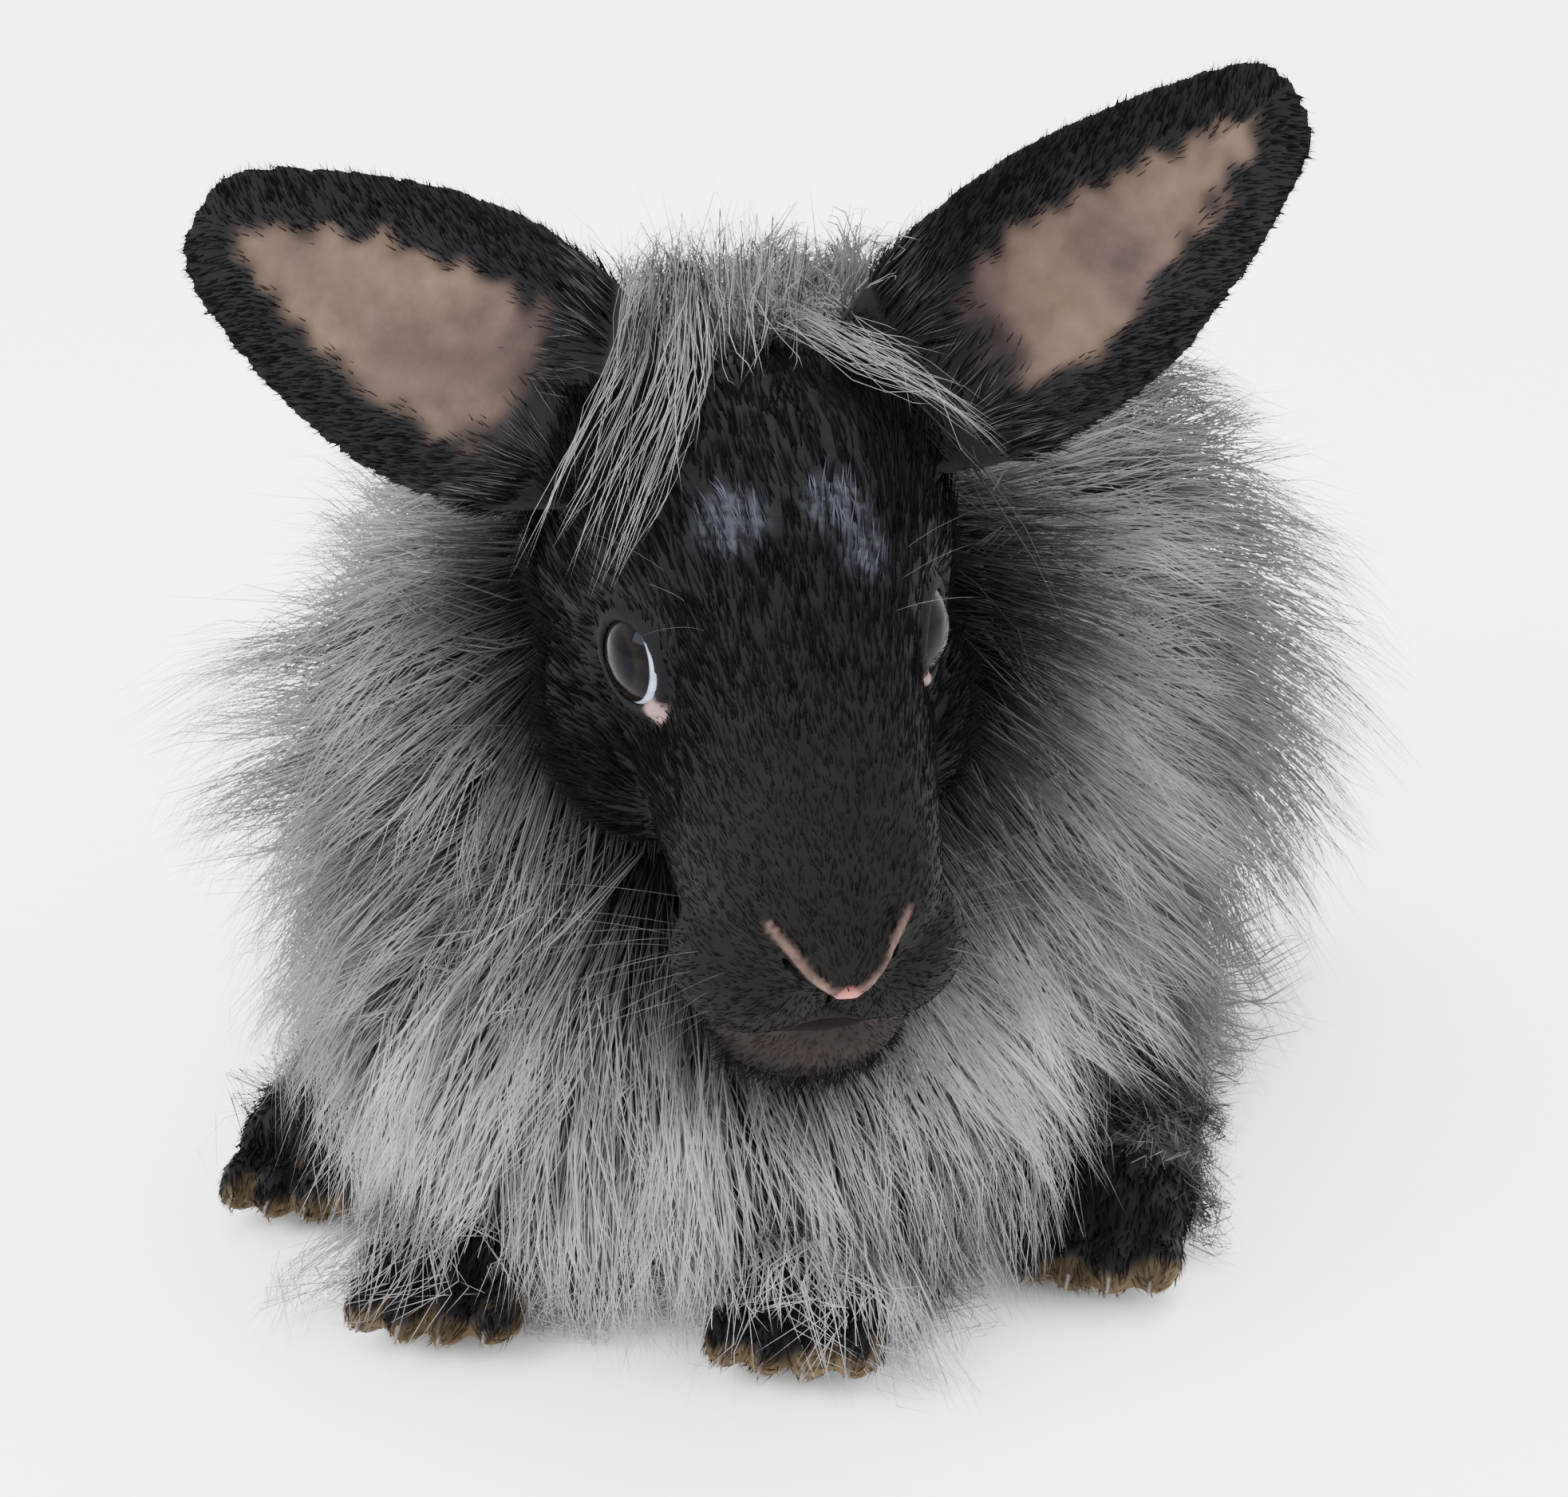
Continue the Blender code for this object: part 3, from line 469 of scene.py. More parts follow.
def triangles(made):
    mesh = made.data
    mesh.calc_loop_triangles()
    count = len(mesh.loop_triangles)
    corners, loops = np.empty(count * 3, int), np.empty(count * 3, int)
    mesh.loop_triangles.foreach_get("vertices", corners)
    mesh.loop_triangles.foreach_get("loops", loops)
    normals = np.empty(len(mesh.vertices) * 3)
    mesh.vertices.foreach_get("normal", normals)
    uvs = np.empty(len(mesh.loops) * 2)
    mesh.uv_layers["OFBake"].data.foreach_get("uv", uvs)
    return (coordinates(made)[corners.reshape(-1, 3)], normals.reshape(-1, 3)[corners.reshape(-1, 3)],
            uvs.reshape(-1, 2)[loops.reshape(-1, 3)])


skinCorners, skinNormals, skinUvs = triangles(skin)
skinAreas = np.linalg.norm(np.cross(skinCorners[:, 1] - skinCorners[:, 0], skinCorners[:, 2] - skinCorners[:, 0]),
                           axis=1) / 2
skinMiddles = skinCorners.mean(axis=1)
skinOut = unit(skinNormals.mean(axis=1))


# Where a point is: how far out of the head, along an ear, near a paw

def headRatio(points):
    local = toHead(points)
    at = np.clip((local[:, 1] + head["eyeFromNose"]) / head["length"], 0.001, 0.999)
    close = rounded(at, head["noseRound"]) * rounded(1 - at, head["napeRound"])
    half, top, bottom, level = stationed(head["stations"], at, close, 0.0012)
    rise = np.where(local[:, 2] > level, top - level, level - bottom)
    ratio = np.hypot(local[:, 0] / half, (local[:, 2] - level) / rise)
    beyond = np.maximum(0, np.abs(local[:, 1] + 0.001) - 0.045) / 0.02
    return ratio + beyond, local


def earPlace(points, name):
    root, along, faces, over, length, sides = earFrame(name)
    reach = points - root
    at, across, out = reach @ along / length, reach @ over, reach @ faces
    half = through(ears["halfWidths"], np.clip(at, 0, 1)) * np.where(across > 0, sides[1], sides[0])
    return at, across, half, out


def nearRun(points, run, margin):
    keys = [(i / (len(run) - 1), *station) for i, station in enumerate(run)]
    spots = np.linspace(0, 1, 16)
    middles = np.stack([through(keys, spots, column) for column in (1, 2, 3)], axis=-1)
    widths = through(keys, spots, 4)
    return np.any(np.linalg.norm(points[:, None] - middles[None], axis=-1) < widths + margin, axis=1)


def regions(points):
    ratio, local = headRatio(points)
    kind = np.full(len(points), "body", dtype="<U5")
    x, y, z = np.abs(local[:, 0]), local[:, 1], local[:, 2]
    face = (y < -0.014) & (x < 0.027) & (z > -0.042) & (z < 0.022)
    cheek = np.linalg.norm((np.stack([x, y, z], -1) - head["cheeks"][0]) / head["cheeks"][1], axis=1) < 1.08
    nape = (y > 0.0335) & (z > -0.016)
    kind[((ratio < 1.07) | face | cheek) & ~nape] = "head"
    kind[(points[:, 1] > 0.204) & (np.abs(points[:, 0]) < 0.02) & (points[:, 2] > 0.04)] = "tail"
    low = points[:, 2] < 0.0165
    for side in (1, -1):
        for name in ("fore", "hind"):
            paw = np.zeros(len(points), bool)
            paw[low] = nearRun(points[low], legRun(name, side), 0.0030) & (points[low, 1] < 0.057)
            kind[paw] = "paw"
    for name in ("left", "right"):
        at, across, half, out = earPlace(points, name)
        kind[(at > 0.11) & (at < 1.1) & (np.abs(across) < half * 1.15 + 0.003) & (np.abs(out) < 0.022)] = name[:4] + "E"
    return kind


skinKinds = regions(skinMiddles)
print("skin regions:", {str(kind): round(float(skinAreas[skinKinds == kind].sum() * 1e4), 1) for kind in set(skinKinds)})


# Roots spread by chance over the skin, where wanted(points, outs) says how many to keep
def rootsOn(kind, count, seed, wanted=None):
    draw = np.random.default_rng(seed)
    chosen = np.flatnonzero(skinKinds == kind)
    weight = skinAreas[chosen] * (1.0 if wanted is None else wanted(skinMiddles[chosen], skinOut[chosen]))
    pick = chosen[draw.choice(len(chosen), int(count * share), p=weight / weight.sum())]
    a, b = draw.random(len(pick)), draw.random(len(pick))
    over = a + b > 1
    a[over], b[over] = 1 - a[over], 1 - b[over]
    weights = np.stack([1 - a - b, a, b], axis=-1)[..., None]
    return ((skinCorners[pick] * weights).sum(1), unit((skinNormals[pick] * weights).sum(1)),
            (skinUvs[pick] * weights).sum(1), draw)


# Centre lines of hairs: they leave along lie raised by lift, and droop turns them on the way
def combed(roots, lie, away, lift, length, steps, droop, sink=0.08):
    heading = unit(unit(lie - away * dot(lie, away)) + away * lift)
    at = roots - heading * length * sink
    step = length * (1 + sink) / steps
    lines = [at]
    for i in range(steps):
        at = lines[-1] + heading * step
        at[:, 2] = np.maximum(at[:, 2], 0.0012)
        lines.append(at)
        heading = unit(heading + droop * (i + 1) / steps)
    return np.stack(lines, axis=1)


# Hairs gather into pointed locks about guides picked among them
def gathered(lines, roots, ratio, pull, seed, spreadTip=0.12):
    draw = np.random.default_rng(seed)
    guides = draw.choice(len(lines), max(2, int(len(lines) * ratio)), replace=False)
    tree = KDTree(len(guides))
    for i, guide in enumerate(guides):
        tree.insert(roots[guide], i)
    tree.balance()
    near = guides[np.array([tree.find(root)[1] for root in roots])]
    t = np.linspace(0, 1, lines.shape[1])[None, :, None]
    target = lines[near] + (lines[:, :1] - lines[near][:, :1]) * (1 - (1 - spreadTip) * t)
    amount = (pull if np.ndim(pull) == 0 else np.asarray(pull)[:, None, None]) * t ** 0.9
    return lines * (1 - amount) + target * amount, near


# One mesh of closed tapered hairs with three sides; tint holds each hair's colour, and its alpha runs root to tip
def hairMesh(name, lines, away, widths, uvs, tints, profile, flat=0.45):
    count, levels = lines.shape[0], lines.shape[1] - 1
    along = unit(lines[:, 1:] - lines[:, :-1])
    side = unit(np.cross(along, away[:, None]))
    up = np.cross(side, along)
    half = (widths[:, None] / 2 * np.asarray(profile)[None])[..., None]
    rings = np.stack([lines[:, :-1] + side * half, lines[:, :-1] + up * half * flat * 2,
                      lines[:, :-1] - side * half], axis=2)
    points = np.concatenate([rings.reshape(count, levels * 3, 3), lines[:, -1:]], axis=1)
    each = levels * 3 + 1
    faces = [(0, 1, 2)]
    for level in range(levels - 1):
        for k in range(3):
            a, b = level * 3 + k, level * 3 + (k + 1) % 3
            faces.append((b, a, a + 3, b + 3))
    for k in range(3):
        a, b = (levels - 1) * 3 + k, (levels - 1) * 3 + (k + 1) % 3
        faces.append((b, a, levels * 3))
    sizes = np.array([len(face) for face in faces])
    corners = np.concatenate([np.array(face) for face in faces])
    mesh = bpy.data.meshes.new(name)
    mesh.vertices.add(count * each)
    mesh.vertices.foreach_set("co", points.reshape(-1))
    mesh.loops.add(count * len(corners))
    mesh.loops.foreach_set("vertex_index", (corners[None] + np.arange(count)[:, None] * each).reshape(-1))
    mesh.polygons.add(count * len(faces))
    starts = np.concatenate([[0], np.cumsum(sizes)[:-1]])
    mesh.polygons.foreach_set("loop_start", (starts[None] + np.arange(count)[:, None] * len(corners)).reshape(-1))
    mesh.update(calc_edges=True)
    level = np.concatenate([np.repeat(np.arange(levels), 3), [levels]]) / levels
    aside = np.concatenate([np.tile((-0.5, 0.0, 0.5), levels), [0.0]])
    patch = np.stack([aside * 0.003, (level - 0.5) * 0.003], axis=-1)
    layer = mesh.uv_layers.new(name="OFBake")
    layer.data.foreach_set("uv", np.clip(uvs[:, None] + patch[corners][None], 0, 1).reshape(-1))
    colours = np.empty((count, each, 4))
    if tints.ndim == 3:      # a colour at each step along the hair
        tints = np.concatenate([np.repeat(tints[:, :-1], 3, axis=1), tints[:, -1:]], axis=1)
    else:
        tints = tints[:, None]
    colours[..., :3] = tints
    colours[..., 3] = level[None]
    attribute = mesh.color_attributes.new(name="tint", type="FLOAT_COLOR", domain="POINT")
    attribute.data.foreach_set("color", colours.reshape(-1))
    mesh.polygons.foreach_set("use_smooth", np.ones(count * len(faces), bool))
    made = bpy.data.objects.new(name, mesh)
    bpy.context.scene.collection.objects.link(made)
    return made


# The same, in as many pieces as keep each under the most triangles
def hairPieces(name, finish, slot, lines, away, widths, uvs, tints, profile, most=190000, **more):
    triangles = 6 * (lines.shape[1] - 1) - 2
    parts = max(1, math.ceil(len(lines) * triangles / most))
    made = []
    for i, part in enumerate(np.array_split(np.arange(len(lines)), parts)):
        label = name if parts == 1 else f"{name}{i + 1}"
        piece = hairMesh(label, lines[part], away[part], widths[part], uvs[part], tints[part], profile, **more)
        piece.data.materials.append(finish)
        piece.data.transform(Matrix.Translation(Vector(moved)))
        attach(piece, "root")
        made.append(piece)
    print(name + ":", len(lines), "hairs,", len(lines) * triangles, "triangles")
    return made


# Colours and markings, the same on the skin and on the hair that grows there; patch is a painted highlight, the sheen
# on top of the head
colour = {
    "black": (0.0040, 0.0040, 0.0047), "brown": (0.0056, 0.0047, 0.0044), "lip": (0.026, 0.020, 0.018),
    "patch": (0.036, 0.038, 0.048), "light": (0.205, 0.205, 0.214), "mid": (0.082, 0.082, 0.088),
    "warm": (0.128, 0.121, 0.115), "earSkin": (0.062, 0.042, 0.030), "earPink": (0.034, 0.022, 0.020),
    "sole": (0.105, 0.074, 0.040), "nosePink": (0.30, 0.10, 0.09), "noseTan": (0.085, 0.052, 0.043),
    "eyePink": (0.150, 0.094, 0.090),
}
colour = {name: np.array(value) for name, value in colour.items()}


def near(points, middle, radius, soft):
    return 1 - ease(radius, radius + soft, np.linalg.norm(points - np.array(middle), axis=-1))


def foldDistance(local):
    best = np.full(len(local), 1.0)
    points = np.array(noseFold["points"])
    for a, b in zip(points[:-1], points[1:]):
        t = np.clip((local - a) @ (b - a) / ((b - a) @ (b - a)), 0, 1)[:, None]
        best = np.minimum(best, np.linalg.norm(local - a - t * (b - a), axis=1))
    return best


def headTint(points, spots=True):
    local = toHead(points)
    x, y, z = np.abs(local[:, 0]), local[:, 1], local[:, 2]
    rough = ripple(points, 0.004, 11)[:, 0] * 0.3
    tint = blend(colour["black"], colour["brown"], (1 - ease(-0.030, -0.016, y + rough * 0.003))[:, None])
    lip = ease(-0.0300, -0.0262, z + rough * 0.001) * (1 - ease(-0.0226, -0.0205, z)) * (1 - ease(-0.034, -0.026, y))
    tint = blend(tint, colour["lip"], (lip * (1 - ease(0.008, 0.015, x)))[:, None] * 0.75)
    poll = ease(0.0290, 0.0400, y + rough * 0.006) * ease(0.0, 0.010, z) * (1 - ease(0.012, 0.020, x))
    tint = blend(tint, colour["mid"] * 0.2, poll[:, None])
    # spots: painted highlight, bluish patches of sheen on top of the head, on the skin and on the face fur
    if spots:
        paintedSheen = np.maximum(near(local, (-0.0076, 0.0062, 0.0207), 0.0035, 0.0030),
                          np.maximum(near(local, (0.0070, 0.0070, 0.0200), 0.0030, 0.0030),
                                     near(local, (0.0098, 0.0005, 0.0180), 0.0022, 0.0026)))
        tint = blend(tint, colour["patch"], (paintedSheen * ease(-0.9, 0.5, ripple(points, 0.0022, 12)[:, 1]))[:, None])
    return tint


# How bare the inside of an ear is: 1 in the middle of its inner face, 0 in the furry rim and the funnel
def earBare(points, outs, name):
    at, across, half, out = earPlace(points, name)
    faces = np.array(earFrame(name)[2])
    inside = ease(0.05, 0.35, outs @ faces)
    rough = ripple(points, 0.006, 21)[:, 0] * 0.0010
    rim = ease(0.0055, 0.0092, half - np.abs(across) + rough)
    return inside * rim * ease(0.20, 0.34, at + rough * 20) * (1 - ease(0.84, 0.93, at + rough * 12))


def pawTint(points):
    sole = 1 - ease(0.0048, 0.0085, points[:, 2] + ripple(points, 0.008, 31)[:, 0] * 0.001)
    return blend(colour["black"] * 1.6, colour["sole"], sole[:, None] * 0.85)


# Colours of the long coat by place: dark about the face and throat, partly painted shadow under the chin, warm on the
# back, lightest low on the chest, and painted shade on the lower flank
def bodyTint(points):
    flat = points.reshape(-1, 3)
    local = toHead(flat)
    t = np.clip((local[:, 1] + 0.030) / 0.052, 0, 1)[:, None]
    axis = np.concatenate([0 * t, -0.030 + 0.052 * t, -0.008 + 0.003 * t], axis=1)
    gap = np.maximum(0, np.linalg.norm(local - axis, axis=1) - 0.0155 - 0.0085 * t[:, 0])
    soft = ripple(flat, 0.030, 41)
    behind = ease(0.030, 0.046, local[:, 1]) * ease(-0.020, 0.005, local[:, 2]) * (1 - ease(0.014, 0.026, np.abs(local[:, 0])))
    high = ease(-0.032, -0.006, local[:, 2]) * (1 - ease(0.006, 0.018, local[:, 2]))
    dark = (1 - ease(0.009 + 0.020 * high, 0.031 + 0.036 * high, gap + soft[:, 0] * 0.0080)) * (1 - behind)
    beside = np.stack([np.abs(local[:, 0]), local[:, 1], local[:, 2]], axis=-1)
    cheek, pad = np.array(head["cheeks"][0]), np.array(head["pads"][0])
    t = np.clip((beside - cheek) @ (pad - cheek) / ((pad - cheek) @ (pad - cheek)), 0, 1)[:, None]
    fromJaw = np.linalg.norm(beside - cheek - t * (pad - cheek), axis=1) + soft[:, 1] * 0.0025
    dark = np.maximum(dark, 1 - ease(0.016, 0.032, fromJaw))
    # under the chin: the throat's dark fur, and partly painted shadow of the head
    dark = np.maximum(dark, near(local, (0.0, -0.0320, -0.0420), 0.0130, 0.0140))
    flecked = ease(-1.0, 1.0, soft[:, 1] * 0.7 + ripple(flat, 0.012, 42)[:, 0] * 0.5)
    tint = blend(colour["mid"], colour["light"], (0.04 + 0.64 * flecked)[:, None])
    bib = (1 - ease(0.028, 0.070, flat[:, 2])) * (1 - ease(0.02, 0.06, flat[:, 1]))
    tint = blend(tint, colour["light"] * 1.15, bib[:, None] * 0.85)
    warm = ease(0.04, 0.11, flat[:, 1]) * ease(0.06, 0.11, flat[:, 2])
    tint = blend(tint, colour["warm"] * 0.24, (warm * 0.85)[:, None])
    tint = blend(tint, colour["warm"] * 0.10, (behind * 0.90)[:, None])
    # painted shade: the lower flank and hind end darker where the body shades them, less on the -X side that faces the
    # key light
    shade = ease(0.035, 0.075, flat[:, 1]) * (1 - ease(0.035, 0.085, flat[:, 2])) * (1 - 0.6 * ease(0.0, -0.03, flat[:, 0]))
    tint = tint * (1 - 0.60 * (shade * (1 - 0.7 * ease(0.085, 0.115, flat[:, 1])))[:, None])
    return blend(tint, colour["black"] * 2.0, dark[:, None] * 0.96).reshape(points.shape)


# Materials

def finishOf(name, base, roughness, **sockets):
    finish = bpy.data.materials.new(name)
    finish.use_nodes = True
    shader = finish.node_tree.nodes["Principled BSDF"]
    shader.inputs["Base Color"].default_value = (*base, 1)
    shader.inputs["Roughness"].default_value = roughness
    for socket, value in sockets.items():
        shader.inputs[socket].default_value = value
    return finish, finish.node_tree, shader


def node(tree, kind, **settings):
    made = tree.nodes.new(kind)
    for key, value in settings.items():
        if key.startswith("in_"):
            made.inputs[int(key[3:])].default_value = value
        else:
            setattr(made, key, value)
    return made


def ramp(tree, source, stops):
    made = tree.nodes.new("ShaderNodeValToRGB")
    band = made.color_ramp
    while len(band.elements) < len(stops):
        band.elements.new(0.5)
    for element, (position, value) in zip(band.elements, stops):
        element.position = position
        element.color = (value, value, value, 1) if np.isscalar(value) else (*value, 1)
    tree.links.new(source, made.inputs["Fac"])
    return made.outputs["Color"]


# Hair: the tint of its place, darker at the root (partly the hair's own dark root, partly painted shade deep in the
# coat), with fine streaks along the locks
def hairFinish(name, stops, roughness, streak, gloss):
    finish, tree, shader = finishOf(name, (0.3, 0.3, 0.3), roughness)
    shader.inputs["Specular IOR Level"].default_value = gloss
    attribute = node(tree, "ShaderNodeAttribute", attribute_name="tint")
    shade = ramp(tree, attribute.outputs["Alpha"], stops)
    where = node(tree, "ShaderNodeTexCoord")
    noise = node(tree, "ShaderNodeTexNoise")
    noise.inputs["Scale"].default_value = streak
    noise.inputs["Detail"].default_value = 1.0
    tree.links.new(where.outputs["Object"], noise.inputs["Vector"])
    vary = ramp(tree, noise.outputs["Fac"], ((0.30, 0.72), (0.70, 1.22)))
    first = node(tree, "ShaderNodeMix", data_type="RGBA", blend_type="MULTIPLY", in_0=1.0)
    tree.links.new(attribute.outputs["Color"], first.inputs[6])
    tree.links.new(shade, first.inputs[7])
    second = node(tree, "ShaderNodeMix", data_type="RGBA", blend_type="MULTIPLY", in_0=1.0)
    tree.links.new(first.outputs[2], second.inputs[6])
    tree.links.new(vary, second.inputs[7])
    tree.links.new(second.outputs[2], shader.inputs["Base Color"])
    return finish


# root-to-tip stops: the hair's darker root and partly painted shade deep in the coat
longHair = hairFinish("longSoftCoat", ((0.0, 0.20), (0.30, 0.38), (0.62, 0.85), (1.0, 1.30)), 0.65, 130.0, 0.14)
shortHair = hairFinish("shortFur", ((0.0, 0.60), (0.45, 0.85), (1.0, 1.18)), 0.85, 260.0, 0.0)


def skinFinish():
    finish, tree, shader = finishOf("hairedSkin", (0.1, 0.1, 0.1), 0.70)
    shader.inputs["Specular IOR Level"].default_value = 0.05
    attribute = node(tree, "ShaderNodeAttribute", attribute_name="tint")
    where = node(tree, "ShaderNodeTexCoord")
    blotch = node(tree, "ShaderNodeTexNoise")
    blotch.inputs["Scale"].default_value = 240.0
    blotch.inputs["Detail"].default_value = 5.0
    tree.links.new(where.outputs["Object"], blotch.inputs["Vector"])
    vary = ramp(tree, blotch.outputs["Fac"], ((0.30, 0.74), (0.72, 1.16)))
    mixed = node(tree, "ShaderNodeMix", data_type="RGBA", blend_type="MULTIPLY", in_0=1.0)
    tree.links.new(attribute.outputs["Color"], mixed.inputs[6])
    tree.links.new(vary, mixed.inputs[7])
    tree.links.new(mixed.outputs[2], shader.inputs["Base Color"])
    grain = node(tree, "ShaderNodeTexNoise")
    grain.inputs["Scale"].default_value = 1500.0
    grain.inputs["Detail"].default_value = 4.0
    tree.links.new(where.outputs["Object"], grain.inputs["Vector"])
    bump = node(tree, "ShaderNodeBump")
    bump.inputs["Strength"].default_value = 0.35
    bump.inputs["Distance"].default_value = 0.0004
    tree.links.new(grain.outputs["Fac"], bump.inputs["Height"])
    tree.links.new(bump.outputs["Normal"], shader.inputs["Normal"])
    return finish


# The skin's own markings, with painted shade under the coat and the painted forehead highlight from headTint
skinPoints = coordinates(skin)
vertexOut = np.empty(len(skinPoints) * 3)
skin.data.vertices.foreach_get("normal", vertexOut)
vertexOut = vertexOut.reshape(-1, 3)
vertexKinds = regions(skinPoints)
# painted shade: the skin under the coat is darkened to 0.22 of the coat's tint, so the gaps between hairs read as deep
# shaded fur
skinTint = bodyTint(skinPoints) * 0.22
onHead = vertexKinds == "head"
local = toHead(skinPoints)
skinTint[onHead] = headTint(skinPoints[onHead]) * 0.55
fold = foldDistance(local)
pinkTip = near(local, noseFold["septum"], 0.0017, 0.0010)
rim = (1 - ease(0.0003, 0.0009, fold)) * (local[:, 1] < -0.035)
skinTint = blend(skinTint, colour["noseTan"], rim[:, None] * 0.9)
skinTint = blend(skinTint, colour["nosePink"], pinkTip[:, None])
for side in (1, -1):
    middle, way, longWay, highWay = lidPoint(side)
    corner = middle + unit(way * 0.62 + longWay * 0.82 + highWay * 0.04 * side) * (eye["radius"] + 0.0005)
    skinTint = blend(skinTint, colour["eyePink"], (near(skinPoints, corner, 0.0014, 0.0010) * 0.9)[:, None])
for name in ("left", "right"):
    onEar = vertexKinds == name[:4] + "E"
    bare = earBare(skinPoints[onEar], vertexOut[onEar], name)
    at = earPlace(skinPoints[onEar], name)[0]
    mottle = ease(-1.6, 1.6, ripple(skinPoints[onEar], 0.022, 22)[:, 0] * 0.7 + (0.45 - at) * 2.4)
    inner = blend(colour["earSkin"], colour["earPink"], mottle[:, None])
    skinTint[onEar] = blend(colour["black"] * 0.9, inner, bare[:, None])
onPaw = vertexKinds == "paw"
skinTint[onPaw] = pawTint(skinPoints[onPaw]) * 0.7
tinted = skin.data.color_attributes.new(name="tint", type="FLOAT_COLOR", domain="POINT")
tinted.data.foreach_set("color", np.concatenate([skinTint, np.ones((len(skinTint), 1))], axis=1).reshape(-1))
skin.data.materials.clear()
skin.data.materials.append(skinFinish())
skin.data.transform(Matrix.Translation(Vector(moved)))
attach(skin, "root")
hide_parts("head", "neck", "torso", "tail", "ear_left", "ear_right",
            "foreleg_left", "foreleg_right", "hindleg_left", "hindleg_right")
print("skin finished")


# Long coat of the body and neck over a short one
coat = {
    "hairs": 32000, "length": 0.054, "ruffLength": 0.046, "maneLength": 0.048, "width": 0.00028,
    "underHairs": 9000, "underLength": 0.022, "underWidth": 0.00036,
    "locks": 0.012, "strands": 0.10, "pull": 0.55, "strandPull": 0.52, "wave": 0.0050, "frizz": 0.0062, "stray": 0.12,
    "hipLift": 0.55, "highest": 0.158,
}
neckStart, neckEnd = np.array(body["neck"][0][:3]), np.array(body["neck"][-1][:3])
neckWay = unit(neckEnd - neckStart)
neckLength = np.linalg.norm(neckEnd - neckStart)


# 1 on the chest and the tops of the forelegs, where the hair hangs to the floor
def bibShare(roots):
    return ((1 - ease(0.034, 0.062, roots[:, 2])) * (1 - ease(0.085, 0.120, roots[:, 1])))[:, None]


def coatFields(roots, outs):
    flank = (1 - np.maximum(0, outs[:, 2:3]))
    nothing = np.zeros_like(flank)
    back = np.concatenate([nothing, 1 - 0.45 * flank, -0.2 - 0.9 * flank], axis=1)
    ruff = unit(roots - np.array(body["throat"])) * (1, 1, 0.8) + (0, 0.25, -0.55)
    mane = neckWay * 0.8 + downwards * 0.5 * flank
    t = np.clip((roots - neckStart) @ neckWay / neckLength, 0, 1)[:, None]
    fromNeck = np.linalg.norm(roots - neckStart - neckWay * neckLength * t, axis=1)
    onNeck = (1 - ease(0.037, 0.044, fromNeck))[:, None]
    inFront = (1 - ease(0.035, 0.070, roots[:, 1]))[:, None]
    lie = blend(blend(unit(back), unit(ruff), inFront), unit(mane), onNeck)
    sideways = np.abs(outs[:, :1])
    hip = ease(0.095, 0.115, roots[:, 1:2]) * (1 - ease(0.150, 0.175, roots[:, 1:2])) * np.maximum(0, outs[:, :1]) ** 4
    lift = 0.02 + 0.36 * sideways * (1 + 0.4 * np.minimum(0, outs[:, 2:3])) + coat["hipLift"] * hip
    lift = blend(lift, np.where(roots[:, :1] > 0.005, 0.34, 0.18), inFront)
    lift = blend(lift, 0.24 + 0.90 * sideways, onNeck)
    length = blend(blend(coat["length"], coat["ruffLength"], inFront), coat["maneLength"], onNeck)
    droop = downwards * blend(blend(0.18, 0.30, inFront), 0.24, onNeck) - outs * 0.09
    bib = bibShare(roots)
    chest = 1 - ease(0.030, 0.060, roots[:, 1:2])
    spread = np.where(roots[:, :1] < 0, -0.36 + 0.18 * chest, 0.22 - 0.04 * chest)
    hang = np.concatenate([spread, -0.08 - 0.46 * chest, nothing - 1.0], axis=1)
    lie = blend(lie, unit(hang), bib)
    lift = blend(lift, blend(0.16, 0.50 * (1 - 0.75 * sideways), chest), bib)
    shorter = 1 - 0.28 * (1 - chest) * (roots[:, :1] > 0)
    length = blend(length, np.clip(roots[:, 2:3] * 1.25 + 0.018, 0.024, 0.058) * shorter, bib)
    behind = ease(0.048, 0.062, roots[:, 1:2])
    rear = ease(0.098, 0.114, roots[:, 1:2]) * (roots[:, :1] > 0)
    full = np.maximum(rear, ease(0.030, 0.044, roots[:, 2:3])) * (1 - ease(0.070, 0.088, roots[:, 2:3]))
    full = full * ease(0.070, 0.090, roots[:, 1:2]) * (1 - ease(0.140, 0.160, roots[:, 1:2])) * np.maximum(0, outs[:, :1])
    lift, length = blend(lift, 0.62, full), blend(length, 0.046, full)
    tuft = near(roots, (-0.036, 0.040, 0.086), 0.010, 0.016)[:, None]
    lift, length = lift + 0.14 * tuft, length * (1 + 0.22 * tuft)
    rump = ease(0.104, 0.122, roots[:, 1:2]) * (1 - ease(0.036, 0.056, roots[:, 2:3])) * (1 - rear)
    lift = blend(lift, 0.14, rump)
    length = blend(length, np.clip(roots[:, 2:3] * 1.2 + 0.020, 0.024, 0.054), rump)
    low = behind * (1 - ease(0.024, 0.040, roots[:, 2:3])) * (1 - rear) * (1 - rump)
    lie = blend(unit(lie), unit(np.array((0.0, -0.30, -1.0))), low)
    return lie, blend(lift, 0.05, low), blend(length, 0.011, low), droop


